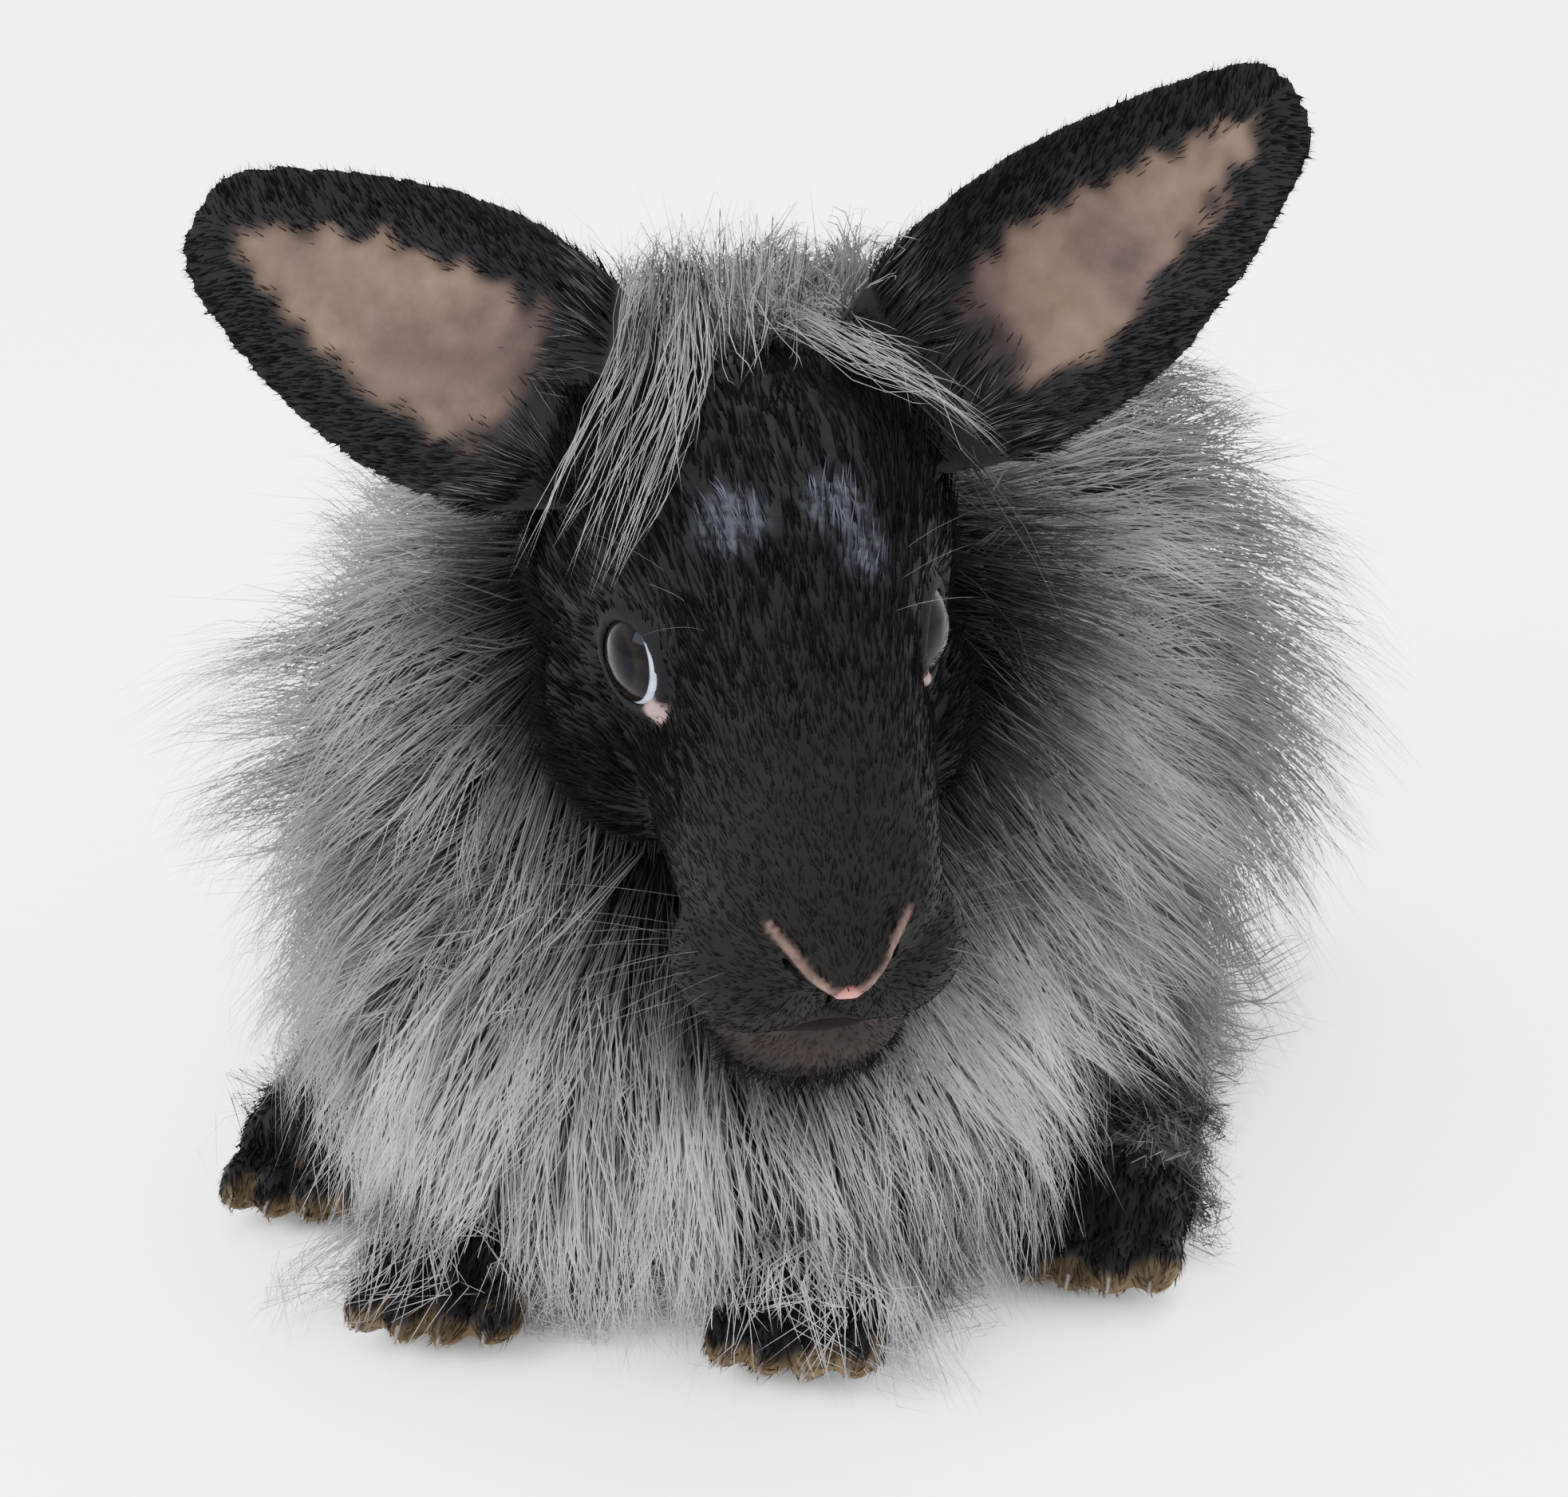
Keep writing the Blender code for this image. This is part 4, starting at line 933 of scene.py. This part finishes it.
def growCoat(name, hairs, long, steps, width, seed, profile):
    def wanted(points, outs):
        under = ease(-0.80, -0.40, outs[:, 2])
        return 0.04 + under * (0.60 + 0.6 * (1 - ease(0.02, 0.09, points[:, 1]))) + 0.9 * bibShare(points)[:, 0]

    roots, outs, uvs, draw = rootsOn("body", hairs, seed, wanted)
    lie, lift, length, droop = coatFields(roots, outs)
    count = len(roots)
    lie = unit(lie) + ripple(roots, 0.035, 51) * 0.20 + draw.normal(size=(count, 3)) * 0.08
    lift = np.maximum(0.02, lift + ripple(roots, 0.020, 52)[:, :1] * 0.06 + draw.normal(size=(count, 1)) * 0.06)
    length = length * (1 + ripple(roots, 0.012, 53)[:, :1] * 0.08) * draw.uniform(0.70, 1.08, (count, 1))
    if not long:
        length = np.minimum(length * 0.6, coat["underLength"] * draw.uniform(0.8, 1.2, (count, 1)))
    lines = combed(roots, lie, outs, lift, length, steps, droop)
    t = np.linspace(0, 1, steps + 1)[None, :, None]
    stray = draw.random(count) < coat["stray"]
    lines, lock = gathered(lines, roots, coat["locks"], np.where(stray, 0.1, coat["pull"]), seed + 1, 0.18)
    lines, strand = gathered(lines, roots, coat["strands"], np.where(stray, 0.1, coat["strandPull"]), seed + 2, 0.10)
    bib = bibShare(roots)[:, None]
    phase = (roots @ np.array((210.0, 170.0, 140.0)))[:, None, None] + draw.normal(size=(count, 1, 1)) * 0.4
    sway = unit(ripple(roots, 0.010, 54))[:, None]
    twist = unit(ripple(roots, 0.006, 55))[:, None]
    lines = lines + (sway * np.sin(t * 5.0 + phase) * coat["wave"] + twist * np.cos(t * 9.0 + phase) * coat["frizz"] * bib) * t
    lines[..., 2] = np.maximum(lines[..., 2], 0.0012)
    keep = lines[..., 2].max(axis=1) < coat["highest"]
    for level in range(1, lines.shape[1]):
        ratio, local = headRatio(lines[:, level])
        inFace = (local[:, 1] < -0.010) & (np.abs(local[:, 0]) < 0.020) & (local[:, 2] > -0.036) & (local[:, 2] < 0.02)
        keep &= ((ratio > 0.98) | (local[:, 1] > 0.030)) & ~inFace
        for ear in ("left", "right"):
            at, across, half, out = earPlace(lines[:, level], ear)
            keep &= ~((at > 0.10) & (at < 1.1) & (np.abs(across) < half + 0.002) & (out > -0.006) & (out < 0.025))
    shades = draw.uniform(0.62, 1.22, count)
    each = shades[lock] * (0.75 + 0.25 * shades[strand]) * draw.uniform(0.85, 1.15, count)
    tints = bodyTint(lines) * each[:, None, None]
    widths = width * draw.uniform(0.7, 1.25, count) / math.sqrt(share)
    hairPieces(name, longHair, "grey_fur", lines[keep], outs[keep], widths[keep], uvs[keep], tints[keep], profile)


growCoat("coat", coat["hairs"], True, 4, coat["width"], 101, (0.8, 1.0, 0.80, 0.42))
growCoat("underCoat", coat["underHairs"], False, 2, coat["underWidth"], 151, (1.0, 0.8))


# Short fur of the face: it lies back from the nose and grows longer towards the cheeks and poll
faceFur = {"hairs": 18000, "shortest": 0.0010, "brow": 0.0040, "cheek": 0.0150, "poll": 0.0070, "chin": 0.0060, "width": 0.00017}


def clearOfOpenings(points):
    clear = np.ones(len(points), bool)
    local = toHead(points)
    for side in (1, -1):
        fromEye = local - (eye["side"] * side, 0, 0)
        far = np.linalg.norm(fromEye, axis=1)
        facing = fromEye @ eyeWay(side) / np.maximum(far, 1e-6)
        clear &= ~((far < eye["radius"] + 0.0004) | ((far < eye["radius"] + 0.0022) & (facing > 0.64)))
    mouth = (local - head["mouth"][0]) / (np.array(head["mouth"][1]) + 0.0003)
    clear &= np.linalg.norm(mouth, axis=1) > 1.03
    return clear & (foldDistance(local) > 0.0008)


def growFaceFur():
    def wanted(points, outs):
        local = toHead(points)
        front = 1 - ease(-0.020, 0.010, local[:, 1])
        return np.where(clearOfOpenings(points), 0.55 + 0.9 * front, 0.0)

    roots, outs, uvs, draw = rootsOn("head", faceFur["hairs"], 201, wanted)
    keep = clearOfOpenings(roots)
    roots, outs, uvs = roots[keep], outs[keep], uvs[keep]
    count = len(roots)
    local = toHead(roots)
    lie = unit(local - (0, -0.056, -0.008))
    lie[:, 2] -= 0.35 * ease(-0.2, -1.0, local[:, 2] / 0.02) + 0.15
    lie = lie @ headTurn.T
    back = ease(-0.034, 0.018, local[:, 1])
    side = ease(0.010, 0.024, np.abs(local[:, 0]))
    length = faceFur["shortest"] + back * (faceFur["brow"] - faceFur["shortest"])
    jaw = ease(-0.032, 0.004, local[:, 1]) * np.maximum(side, ease(-0.006, -0.022, local[:, 2]))
    length = length + jaw * (faceFur["cheek"] - faceFur["brow"])
    beard = ease(-0.0250, -0.0330, local[:, 2]) * (1 - ease(-0.026, -0.014, local[:, 1]))
    length = length + beard * faceFur["chin"]
    poll = ease(0.026, 0.036, local[:, 1]) * ease(0.0, 0.010, local[:, 2])
    length = length + poll * (faceFur["poll"] - faceFur["brow"])
    for eyeSide in (1, -1):
        far = np.linalg.norm(local - (eye["side"] * eyeSide, 0, 0), axis=1)
        length = np.minimum(length, 0.0014 + np.maximum(0, far - eye["radius"] - 0.0015) * 0.65)
    cheeky = np.linalg.norm(np.stack([np.abs(local[:, 0]), local[:, 1], local[:, 2]], -1) - (0.022, 0.006, -0.016), axis=1)
    cheeky = (1 - ease(0.010, 0.022, cheeky))[:, None]
    length = (length * draw.uniform(0.75, 1.15, count))[:, None]
    lie = lie + ripple(roots, 0.014, 61) * 0.10 + draw.normal(size=(count, 3)) * 0.13
    lift = np.maximum(0.03, 0.09 + 0.26 * cheeky + 0.35 * poll[:, None] + 0.5 * beard[:, None] + draw.normal(size=(count, 1)) * 0.05)
    lines = combed(roots, lie, outs, lift, length, 2, downwards * (0.05 + 0.2 * cheeky) - outs * 0.12, 0.15)
    lines, nearest = gathered(lines, roots, 0.10, 0.30, 202, 0.3)
    tints = headTint(roots) * (draw.uniform(0.85, 1.15, count)[nearest] * draw.uniform(0.8, 1.2, count))[:, None]
    widths = faceFur["width"] * (0.8 + 0.8 * back) * draw.uniform(0.8, 1.2, count) / math.sqrt(share)
    hairPieces("faceFur", shortHair, "black_fur", lines, outs, widths, uvs, tints, (1.0, 0.75))


growFaceFur()


# Ears: velvet outside, a feathered furry rim, and almost bare skin within
earFur = {"hairs": 7200, "short": 0.0013, "rim": 0.0016, "base": 0.0070, "width": 0.00015}


def growEarFur(name, seed):
    frameOf = earFrame(name)
    root, along, faces, over, length, sides = frameOf

    def wanted(points, outs):
        at, across, half, out = earPlace(points, name)
        edge = ease(0.0105, 0.004, half - np.abs(across))
        return np.maximum(0.0, 1 - 1.15 * earBare(points, outs, name)) * (0.6 + 1.8 * edge)

    roots, outs, uvs, draw = rootsOn(name[:4] + "E", earFur["hairs"], seed, wanted)
    count = len(roots)
    at, across, half, out = earPlace(roots, name)
    bare = earBare(roots, outs, name)
    edge = ease(0.0100, 0.0015, half - np.abs(across))[:, None]
    inner = ease(0.0, 0.4, outs @ faces)[:, None]
    sideways = over * np.sign(across)[:, None]
    lie = along * 1.0 + sideways * (0.25 + 0.9 * edge) - sideways * (inner * (1 - edge) * 0.6)
    low = ease(0.30, 0.06, at)[:, None]
    grown = earFur["short"] + edge * (earFur["rim"] - earFur["short"]) + low * (earFur["base"] - earFur["short"])
    grown = grown * draw.uniform(0.7, 1.2, (count, 1))
    lie = lie + ripple(roots, 0.010, seed + 1) * 0.12 + draw.normal(size=(count, 3)) * 0.13
    lift = np.maximum(0.03, 0.08 + 0.10 * inner * edge + 0.2 * low + draw.normal(size=(count, 1)) * 0.04)
    lines = combed(roots, lie, outs, lift, grown, 2, -outs * 0.10, 0.12)
    lines, nearest = gathered(lines, roots, 0.20, 0.18, seed + 2, 0.4)
    tint = np.repeat(colour["black"][None] * 1.1, count, axis=0)
    tint = blend(tint, colour["earPink"] * 0.8, bare[:, None] * 0.7)
    tuft = (ease(0.34, 0.16, at) * ease(0.0, 0.4, outs @ faces) * ease(0.4, 0.9, draw.random(count)))[:, None]
    tint = blend(tint, colour["mid"], tuft * 0.55)
    widths = earFur["width"] * draw.uniform(0.8, 1.3, count) / math.sqrt(share)
    hairPieces("earFur" + name.title(), shortHair, "black_fur", lines, outs, widths, uvs,
               tint * draw.uniform(0.65, 1.35, (count, 1)), (1.0, 0.75))


growEarFur("left", 301)
growEarFur("right", 321)


# Paws: close fur that runs to the toes
pawFur = {"hairs": 5000, "length": 0.0042, "width": 0.00026}


def growPawFur():
    roots, outs, uvs, draw = rootsOn("paw", pawFur["hairs"], 401, lambda points, outs: 0.15 + ease(-0.9, -0.3, outs[:, 2]))
    count = len(roots)
    lie = np.array((0, -1.0, -0.35)) + ripple(roots, 0.012, 71) * 0.15 + draw.normal(size=(count, 3)) * 0.16
    lift = np.maximum(0.05, 0.28 + draw.normal(size=(count, 1)) * 0.1)
    grown = pawFur["length"] * draw.uniform(0.7, 1.2, (count, 1)) * (0.75 + 0.9 * ease(0.008, 0.03, roots[:, 2:3]))
    lines = combed(roots, lie, outs, lift, grown, 2, -outs * 0.15, 0.12)
    lines, nearest = gathered(lines, roots, 0.10, 0.45, 402, 0.25)
    tints = pawTint(roots) * draw.uniform(0.7, 1.3, (count, 1))
    widths = pawFur["width"] * draw.uniform(0.8, 1.2, count) / math.sqrt(share)
    hairPieces("pawFur", shortHair, "foot_fur", lines, outs, widths, uvs, tints, (1.0, 0.75))


growPawFur()


# Tail: a puff whose hair runs to its end and stands out all round
tailFur = {"hairs": 2400, "length": 0.0225, "width": 0.00034}


def growTail():
    roots, outs, uvs, draw = rootsOn("tail", tailFur["hairs"], 501)
    count = len(roots)
    run = unit(np.array(body["tail"][-1][:3]) - np.array(body["tail"][0][:3]))
    lie = run + ripple(roots, 0.012, 81) * 0.2 + draw.normal(size=(count, 3)) * 0.15
    end = ease(0.204, 0.229, roots[:, 1:2])
    lift = np.maximum(0.05, 1.30 - 1.00 * end + draw.normal(size=(count, 1)) * 0.24)
    grown = tailFur["length"] * (1 - 0.32 * end) * draw.uniform(0.75, 1.1, (count, 1))
    lines = combed(roots, lie, outs, lift, grown, 4, downwards * 0.03 - outs * 0.22)
    lines, nearest = gathered(lines, roots, 0.03, 0.5, 502, 0.15)
    tints = blend(colour["mid"] * 0.8, colour["warm"] * 0.8, draw.random((count, 1)))
    widths = tailFur["width"] * draw.uniform(0.8, 1.2, count) / math.sqrt(share)
    hairPieces("tailHair", longHair, "grey_fur", lines, outs, widths, uvs, tints, (0.8, 1.0, 0.85, 0.45))


growTail()


skinTree = BVHTree.FromPolygons([Vector(point) for point in skinCorners.reshape(-1, 3)],
                                np.arange(len(skinCorners) * 3).reshape(-1, 3).tolist())


# The skin's nearest point to each place, the way out of it there and its spot on the unwrap
def onSkin(points):
    found = [skinTree.find_nearest(Vector(point)) for point in points]
    return (np.array([hit[0] for hit in found]), np.array([hit[1] for hit in found]),
            np.array([skinUvs[hit[2]].mean(axis=0) for hit in found]))


# Forelock: long hair of the poll rises, parts and hangs over the brow in thin locks
forelock = {
    "width": 0.00016, "steps": 8, "wave": 0.0017, "locks": (   # hairs, spread, and the lock's run in the head's frame
        (15, 0.0013, ((-0.0087, 0.0392, 0.0159), (-0.0129, 0.0408, 0.0239), (-0.0168, 0.0320, 0.0203),
         (-0.0248, 0.0196, 0.0167), (-0.0320, 0.0097, 0.0061))),
        (15, 0.0013, ((-0.0077, 0.0390, 0.0160), (-0.0116, 0.0416, 0.0244), (-0.0153, 0.0316, 0.0199),
         (-0.0228, 0.0201, 0.0175), (-0.0273, 0.0153, 0.0082))),
        (15, 0.0013, ((-0.0068, 0.0384, 0.0158), (-0.0103, 0.0414, 0.0244), (-0.0138, 0.0310, 0.0195),
         (-0.0213, 0.0184, 0.0170), (-0.0260, 0.0138, 0.0080))),
        (15, 0.0013, ((-0.0058, 0.0383, 0.0159), (-0.0089, 0.0418, 0.0245), (-0.0118, 0.0304, 0.0192),
         (-0.0199, 0.0158, 0.0180), (-0.0249, 0.0078, 0.0082))),
        (15, 0.0013, ((-0.0048, 0.0377, 0.0157), (-0.0077, 0.0417, 0.0245), (-0.0099, 0.0296, 0.0192),
         (-0.0181, 0.0144, 0.0180), (-0.0236, 0.0043, 0.0037))),
        (15, 0.0013, ((-0.0038, 0.0376, 0.0157), (-0.0062, 0.0412, 0.0241), (-0.0083, 0.0289, 0.0190),
         (-0.0164, 0.0129, 0.0182), (-0.0219, 0.0030, 0.0107))),
        (15, 0.0013, ((-0.0023, 0.0370, 0.0154), (-0.0050, 0.0402, 0.0236), (-0.0063, 0.0283, 0.0188),
         (-0.0130, 0.0142, 0.0202), (-0.0192, 0.0069, 0.0133))),
        (17, 0.0010, ((0.0046, 0.0380, 0.0120), (0.0062, 0.0374, 0.0187), (0.0147, 0.0307, 0.0190),
         (0.0227, 0.0239, 0.0190), (0.0315, 0.0202, 0.0128))),
        (17, 0.0010, ((0.0056, 0.0375, 0.0117), (0.0068, 0.0360, 0.0180), (0.0139, 0.0288, 0.0183),
         (0.0219, 0.0221, 0.0178), (0.0302, 0.0195, 0.0121))),
        (17, 0.0010, ((0.0069, 0.0365, 0.0120), (0.0086, 0.0356, 0.0175), (0.0162, 0.0277, 0.0186),
         (0.0245, 0.0215, 0.0173), (0.0332, 0.0142, 0.0109))),
        (10, 0.0010, ((0.0077, 0.0377, 0.0119), (0.0115, 0.0387, 0.0162), (0.0160, 0.0321, 0.0195),
         (0.0221, 0.0267, 0.0201), (0.0275, 0.0224, 0.0165))),
        (3, 0.0010, ((0.0086, 0.0372, 0.0125), (0.0136, 0.0384, 0.0163), (0.0153, 0.0401, 0.0215),
         (0.0200, 0.0404, 0.0256), (0.0238, 0.0408, 0.0288))),
        (3, 0.0010, ((0.0086, 0.0372, 0.0125), (0.0140, 0.0379, 0.0161), (0.0175, 0.0384, 0.0218),
         (0.0202, 0.0374, 0.0237), (0.0208, 0.0327, 0.0232))),
        (6, 0.0030, ((-0.0019, 0.0364, 0.0153), (-0.0028, 0.0443, 0.0253), (-0.0029, 0.0386, 0.0229),
         (-0.0035, 0.0320, 0.0217), (-0.0041, 0.0274, 0.0212))),
        (6, 0.0030, ((-0.0003, 0.0365, 0.0149), (-0.0004, 0.0452, 0.0255), (-0.0010, 0.0388, 0.0223),
         (-0.0022, 0.0309, 0.0214), (-0.0030, 0.0246, 0.0214))),
        (6, 0.0030, ((0.0021, 0.0372, 0.0136), (0.0022, 0.0447, 0.0248), (0.0013, 0.0388, 0.0211),
         (0.0002, 0.0314, 0.0203), (-0.0009, 0.0254, 0.0221))),
        (6, 0.0030, ((0.0040, 0.0379, 0.0123), (0.0048, 0.0439, 0.0239), (0.0039, 0.0386, 0.0201),
         (0.0021, 0.0328, 0.0189), (0.0010, 0.0270, 0.0213))),
        (6, 0.0030, ((0.0050, 0.0374, 0.0119), (0.0068, 0.0427, 0.0227), (0.0060, 0.0385, 0.0199),
         (0.0048, 0.0337, 0.0181), (0.0042, 0.0293, 0.0192))),
    ),
}


def growForelock():
    draw = np.random.default_rng(601)
    steps = forelock["steps"]
    t = np.linspace(0, 1, steps + 1)[None]
    grown = []
    for hairs, spread, points in forelock["locks"]:
        count = max(3, int(hairs * share))
        run = fromHead(points)
        keys = np.concatenate([np.linspace(0, 1, len(run))[:, None], run], axis=1)
        reach = t * np.where(draw.random((count, 1)) < 0.3, 1.0, draw.uniform(0.45, 1.0, (count, 1)))
        middle = np.stack([through(keys, reach, column) for column in (1, 2, 3)], axis=-1)
        aside = draw.normal(size=(count, 1, 3)) * spread
        close = (1 - t[..., None]) ** 0.8 * 0.95 + 0.10
        sway = draw.normal(size=(count, 1, 3)) * forelock["wave"]
        phase = draw.uniform(0, 6.28, (count, 1, 1))
        lines = middle + aside * close + sway * np.sin(t[..., None] * 7 + phase) * t[..., None]
        roots, outs, uvs = onSkin(lines[:, 0])
        lines[:, 0] = roots - outs * 0.0005
        grown.append((lines, outs, uvs, np.full(count, draw.uniform(0.8, 1.1)) * draw.uniform(0.75, 1.15, count)))
    lines, outs, uvs, shades = (np.concatenate(part) for part in zip(*grown))
    tints = blend(colour["warm"] * 0.8, colour["light"] * 1.05, draw.random((len(lines), 1))) * shades[:, None]
    widths = forelock["width"] * draw.uniform(0.75, 1.2, len(lines)) / math.sqrt(share)
    profile = 1 - 0.62 * (np.arange(steps) / steps) ** 1.5
    hairPieces("forelock", longHair, "grey_fur", lines, outs, widths, uvs, tints, profile)


growForelock()


# Whiskers: on the pads, and a few over each eye
whiskers = {"rows": 4, "inRow": 4, "length": 0.036, "brow": 0.015, "width": 0.00008}


def growWhiskers():
    draw = np.random.default_rng(701)
    starts, ways, lengths = [], [], []
    for side in (1, -1):
        for row in range(whiskers["rows"]):
            for k in range(whiskers["inRow"]):
                back = k / (whiskers["inRow"] - 1)
                start = np.array((side * (0.0150 + 0.0030 * back), -0.0420 + 0.0110 * back, -0.0095 - 0.0034 * row))
                starts.append(start + draw.normal(size=3) * 0.0004)
                ways.append((side * (1.0 + 0.25 * back), -0.25 + 0.75 * back + draw.normal() * 0.12,
                             0.05 - 0.18 * row + draw.normal() * 0.10))
                lengths.append(whiskers["length"] * (0.45 + 0.55 * back) * draw.uniform(0.75, 1.1))
        for k in range(3):
            starts.append(np.array((side * (0.0130 + 0.0015 * k), -0.0060 + 0.0045 * k, 0.0140)))
            ways.append((side * 0.75, -0.30 + 0.25 * k, 0.9 + draw.normal() * 0.1))
            lengths.append(whiskers["brow"] * draw.uniform(0.7, 1.1))
    starts, ways, lengths = fromHead(np.array(starts)), np.array(ways) @ headTurn.T, np.array(lengths)[:, None]
    roots, outs, uvs = onSkin(starts)
    heading = unit(ways)
    lines = [roots - heading * 0.0008]
    for i in range(8):
        lines.append(lines[-1] + heading * lengths / 8)
        heading = unit(heading + downwards * 0.045 + draw.normal(size=heading.shape) * 0.012)
    lines = np.stack(lines, axis=1)
    tints = np.repeat(np.array((0.05, 0.047, 0.045))[None], len(lines), axis=0)
    tints[::4] = (0.08, 0.078, 0.075)
    hairPieces("whiskers", shortHair, "black_fur", lines, outs, np.full(len(lines), whiskers["width"]), uvs, tints,
               (1.0, 1.0, 0.9, 0.8, 0.7, 0.6, 0.5, 0.35), flat=0.87)


growWhiskers()


# Claws: short dark horn at each toe's end
def hornFinish():
    finish, tree, shader = finishOf("clawHorn", (0.06, 0.05, 0.045), 0.35)
    where = node(tree, "ShaderNodeTexCoord")
    grain = node(tree, "ShaderNodeTexNoise")
    grain.inputs["Scale"].default_value = 900.0
    grain.inputs["Detail"].default_value = 3.0
    tree.links.new(where.outputs["Object"], grain.inputs["Vector"])
    tree.links.new(ramp(tree, grain.outputs["Fac"], ((0.3, (0.016, 0.013, 0.011)), (0.7, (0.060, 0.045, 0.034)))),
                   shader.inputs["Base Color"])
    bump = node(tree, "ShaderNodeBump")
    bump.inputs["Strength"].default_value = 0.2
    bump.inputs["Distance"].default_value = 0.0002
    tree.links.new(grain.outputs["Fac"], bump.inputs["Height"])
    tree.links.new(bump.outputs["Normal"], shader.inputs["Normal"])
    return finish


def makeClaws():
    claws = []
    for side in (1, -1):
        for name in ("fore", "hind"):
            for x, y, z in toesOf(legRun(name, side), side):
                run = [(x, y - legs["toe"][1] * 0.55 - legs["claw"] * 0.95 * t, z + 0.0006 - 0.0016 * t * t,
                        legs["clawThick"] * (1 - 0.75 * t), legs["clawThick"] * (1 - 0.75 * t)) for t in (0, 0.4, 0.75, 1)]
                claws.append(shapedBall("claw", 10, 12, lambda at, turn, run=run: runPoint(run, at, turn, 0.12)))
    made = joined("claws", claws)
    choose(made)
    bpy.ops.object.transform_apply(location=True, rotation=True, scale=True)
    bpy.ops.object.shade_smooth()
    made.data.transform(Matrix.Translation(Vector(moved)))
    made.data.materials.append(hornFinish())
    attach(made, "root")


makeClaws()


# Eyes: dark brown with a wide pupil, and the white shows as a thin crescent at the front corner
def eyeFinish(side, name):
    finish, tree, shader = finishOf(name, (0.02, 0.015, 0.012), 0.04)
    shader.inputs["IOR"].default_value = 1.11
    shader.inputs["Specular Tint"].default_value = (0.50, 0.60, 0.85, 1)
    middle, way, longWay, highWay = lidPoint(side)
    shown = 1.0 if side < 0 else eye["farShown"]
    way = unit(way - longWay * eye["turn"] * shown + highWay * side * eye["sink"] * shown)
    where = node(tree, "ShaderNodeTexCoord")
    less = node(tree, "ShaderNodeVectorMath", operation="SUBTRACT")
    less.inputs[1].default_value = middle + moved
    tree.links.new(where.outputs["Object"], less.inputs[0])

    def along(axis):
        made = node(tree, "ShaderNodeVectorMath", operation="DOT_PRODUCT")
        made.inputs[1].default_value = axis / eye["radius"]
        tree.links.new(less.outputs[0], made.inputs[0])
        return made.outputs["Value"]

    gaze = ramp(tree, along(way), ((0.0, (0.12, 0.14, 0.18)), (0.700, (0.20, 0.24, 0.31)), (0.722, (0.003, 0.003, 0.003)),
                                   (0.75, (0.004, 0.003, 0.003)), (0.86, (0.005, 0.004, 0.003)), (0.89, (0.002, 0.002, 0.002))))
    fibres = node(tree, "ShaderNodeTexNoise")
    fibres.inputs["Scale"].default_value = 700.0
    fibres.inputs["Detail"].default_value = 4.0
    tree.links.new(where.outputs["Object"], fibres.inputs["Vector"])
    mixed = node(tree, "ShaderNodeMix", data_type="RGBA", blend_type="MULTIPLY", in_0=1.0)
    tree.links.new(gaze, mixed.inputs[6])
    tree.links.new(ramp(tree, fibres.outputs["Fac"], ((0.3, 0.75), (0.7, 1.25))), mixed.inputs[7])
    tree.links.new(mixed.outputs[2], shader.inputs["Base Color"])
    return finish


def makeEye(name, side):
    middle = lidPoint(side)[0]
    made = shapedBall(name, 64, 48, ballPoint(middle + moved, (eye["radius"],) * 3))
    bpy.ops.object.shade_smooth()
    made.data.materials.append(eyeFinish(side, name + "Finish"))
    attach(made, "root")
    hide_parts(name.replace("eyeball", "eye_").lower())


makeEye("eyeballLeft", 1)
makeEye("eyeballRight", -1)
print("eyes made")


# Studio: pale floor, soft light from the upper left, camera at the photo's angle
studio = {
    "aim": (0.0250, 0.0, 0.0930), "azimuth": 12.0, "elevation": 20.0, "distance": 0.72, "lens": 129.27,
    "floor": (0.95, 0.95, 0.955), "world": 4.0,
    "lights": (   # place, aim, width, height, watts
        ("key", (-0.75, -0.75, 0.85), (0.02, 0.03, 0.08), 0.70, 0.70, 42.0),
        ("fill", (0.95, -0.70, 0.50), (0.02, 0.03, 0.08), 0.80, 0.80, 8.0),
        ("top", (0.10, 0.30, 1.10), (0.02, 0.05, 0.08), 0.90, 0.90, 25.0),
    ),
}


def lookAt(made, start, end):
    made.location = start
    made.rotation_euler = (Vector(end) - Vector(start)).to_track_quat("-Z", "Y").to_euler()


def makeStudio():
    deselect()
    bpy.ops.mesh.primitive_plane_add(size=12, location=(0, 0, 0))
    floor = bpy.context.object
    floor.name = "floor"
    finish, tree, shader = finishOf("floorPaper", studio["floor"], 0.85)
    where = node(tree, "ShaderNodeTexCoord")
    grain = node(tree, "ShaderNodeTexNoise")
    grain.inputs["Scale"].default_value = 300.0
    tree.links.new(where.outputs["Object"], grain.inputs["Vector"])
    tree.links.new(ramp(tree, grain.outputs["Fac"], ((0.3, (0.94, 0.94, 0.945)), (0.7, (0.96, 0.96, 0.965)))),
                   shader.inputs["Base Color"])
    floor.data.materials.append(finish)
    for name, place, aim, width, height, watts in studio["lights"]:
        bpy.ops.object.light_add(type="AREA")
        light = bpy.context.object
        light.name = name
        light.data.shape = "RECTANGLE"
        light.data.size, light.data.size_y = width, height
        light.data.energy = watts
        lookAt(light, np.array(place) + moved, np.array(aim) + moved)
    world = bpy.data.worlds.new("studioWorld")
    world.use_nodes = True
    world.node_tree.nodes["Background"].inputs["Color"].default_value = (0.97, 0.98, 1.0, 1)
    world.node_tree.nodes["Background"].inputs["Strength"].default_value = studio["world"]
    bpy.context.scene.world = world
    aim = np.array(studio["aim"]) + moved
    turn, rise = math.radians(studio["azimuth"]), math.radians(studio["elevation"])
    back = np.array((math.sin(turn) * math.cos(rise), -math.cos(turn) * math.cos(rise), math.sin(rise)))
    bpy.ops.object.camera_add()
    camera = bpy.context.object
    lookAt(camera, aim + back * studio["distance"], aim)
    camera.data.lens = studio["lens"]
    camera.data.sensor_width = 36
    camera.data.sensor_fit = "HORIZONTAL"
    bpy.context.scene.camera = camera


makeStudio()
print("studio made")
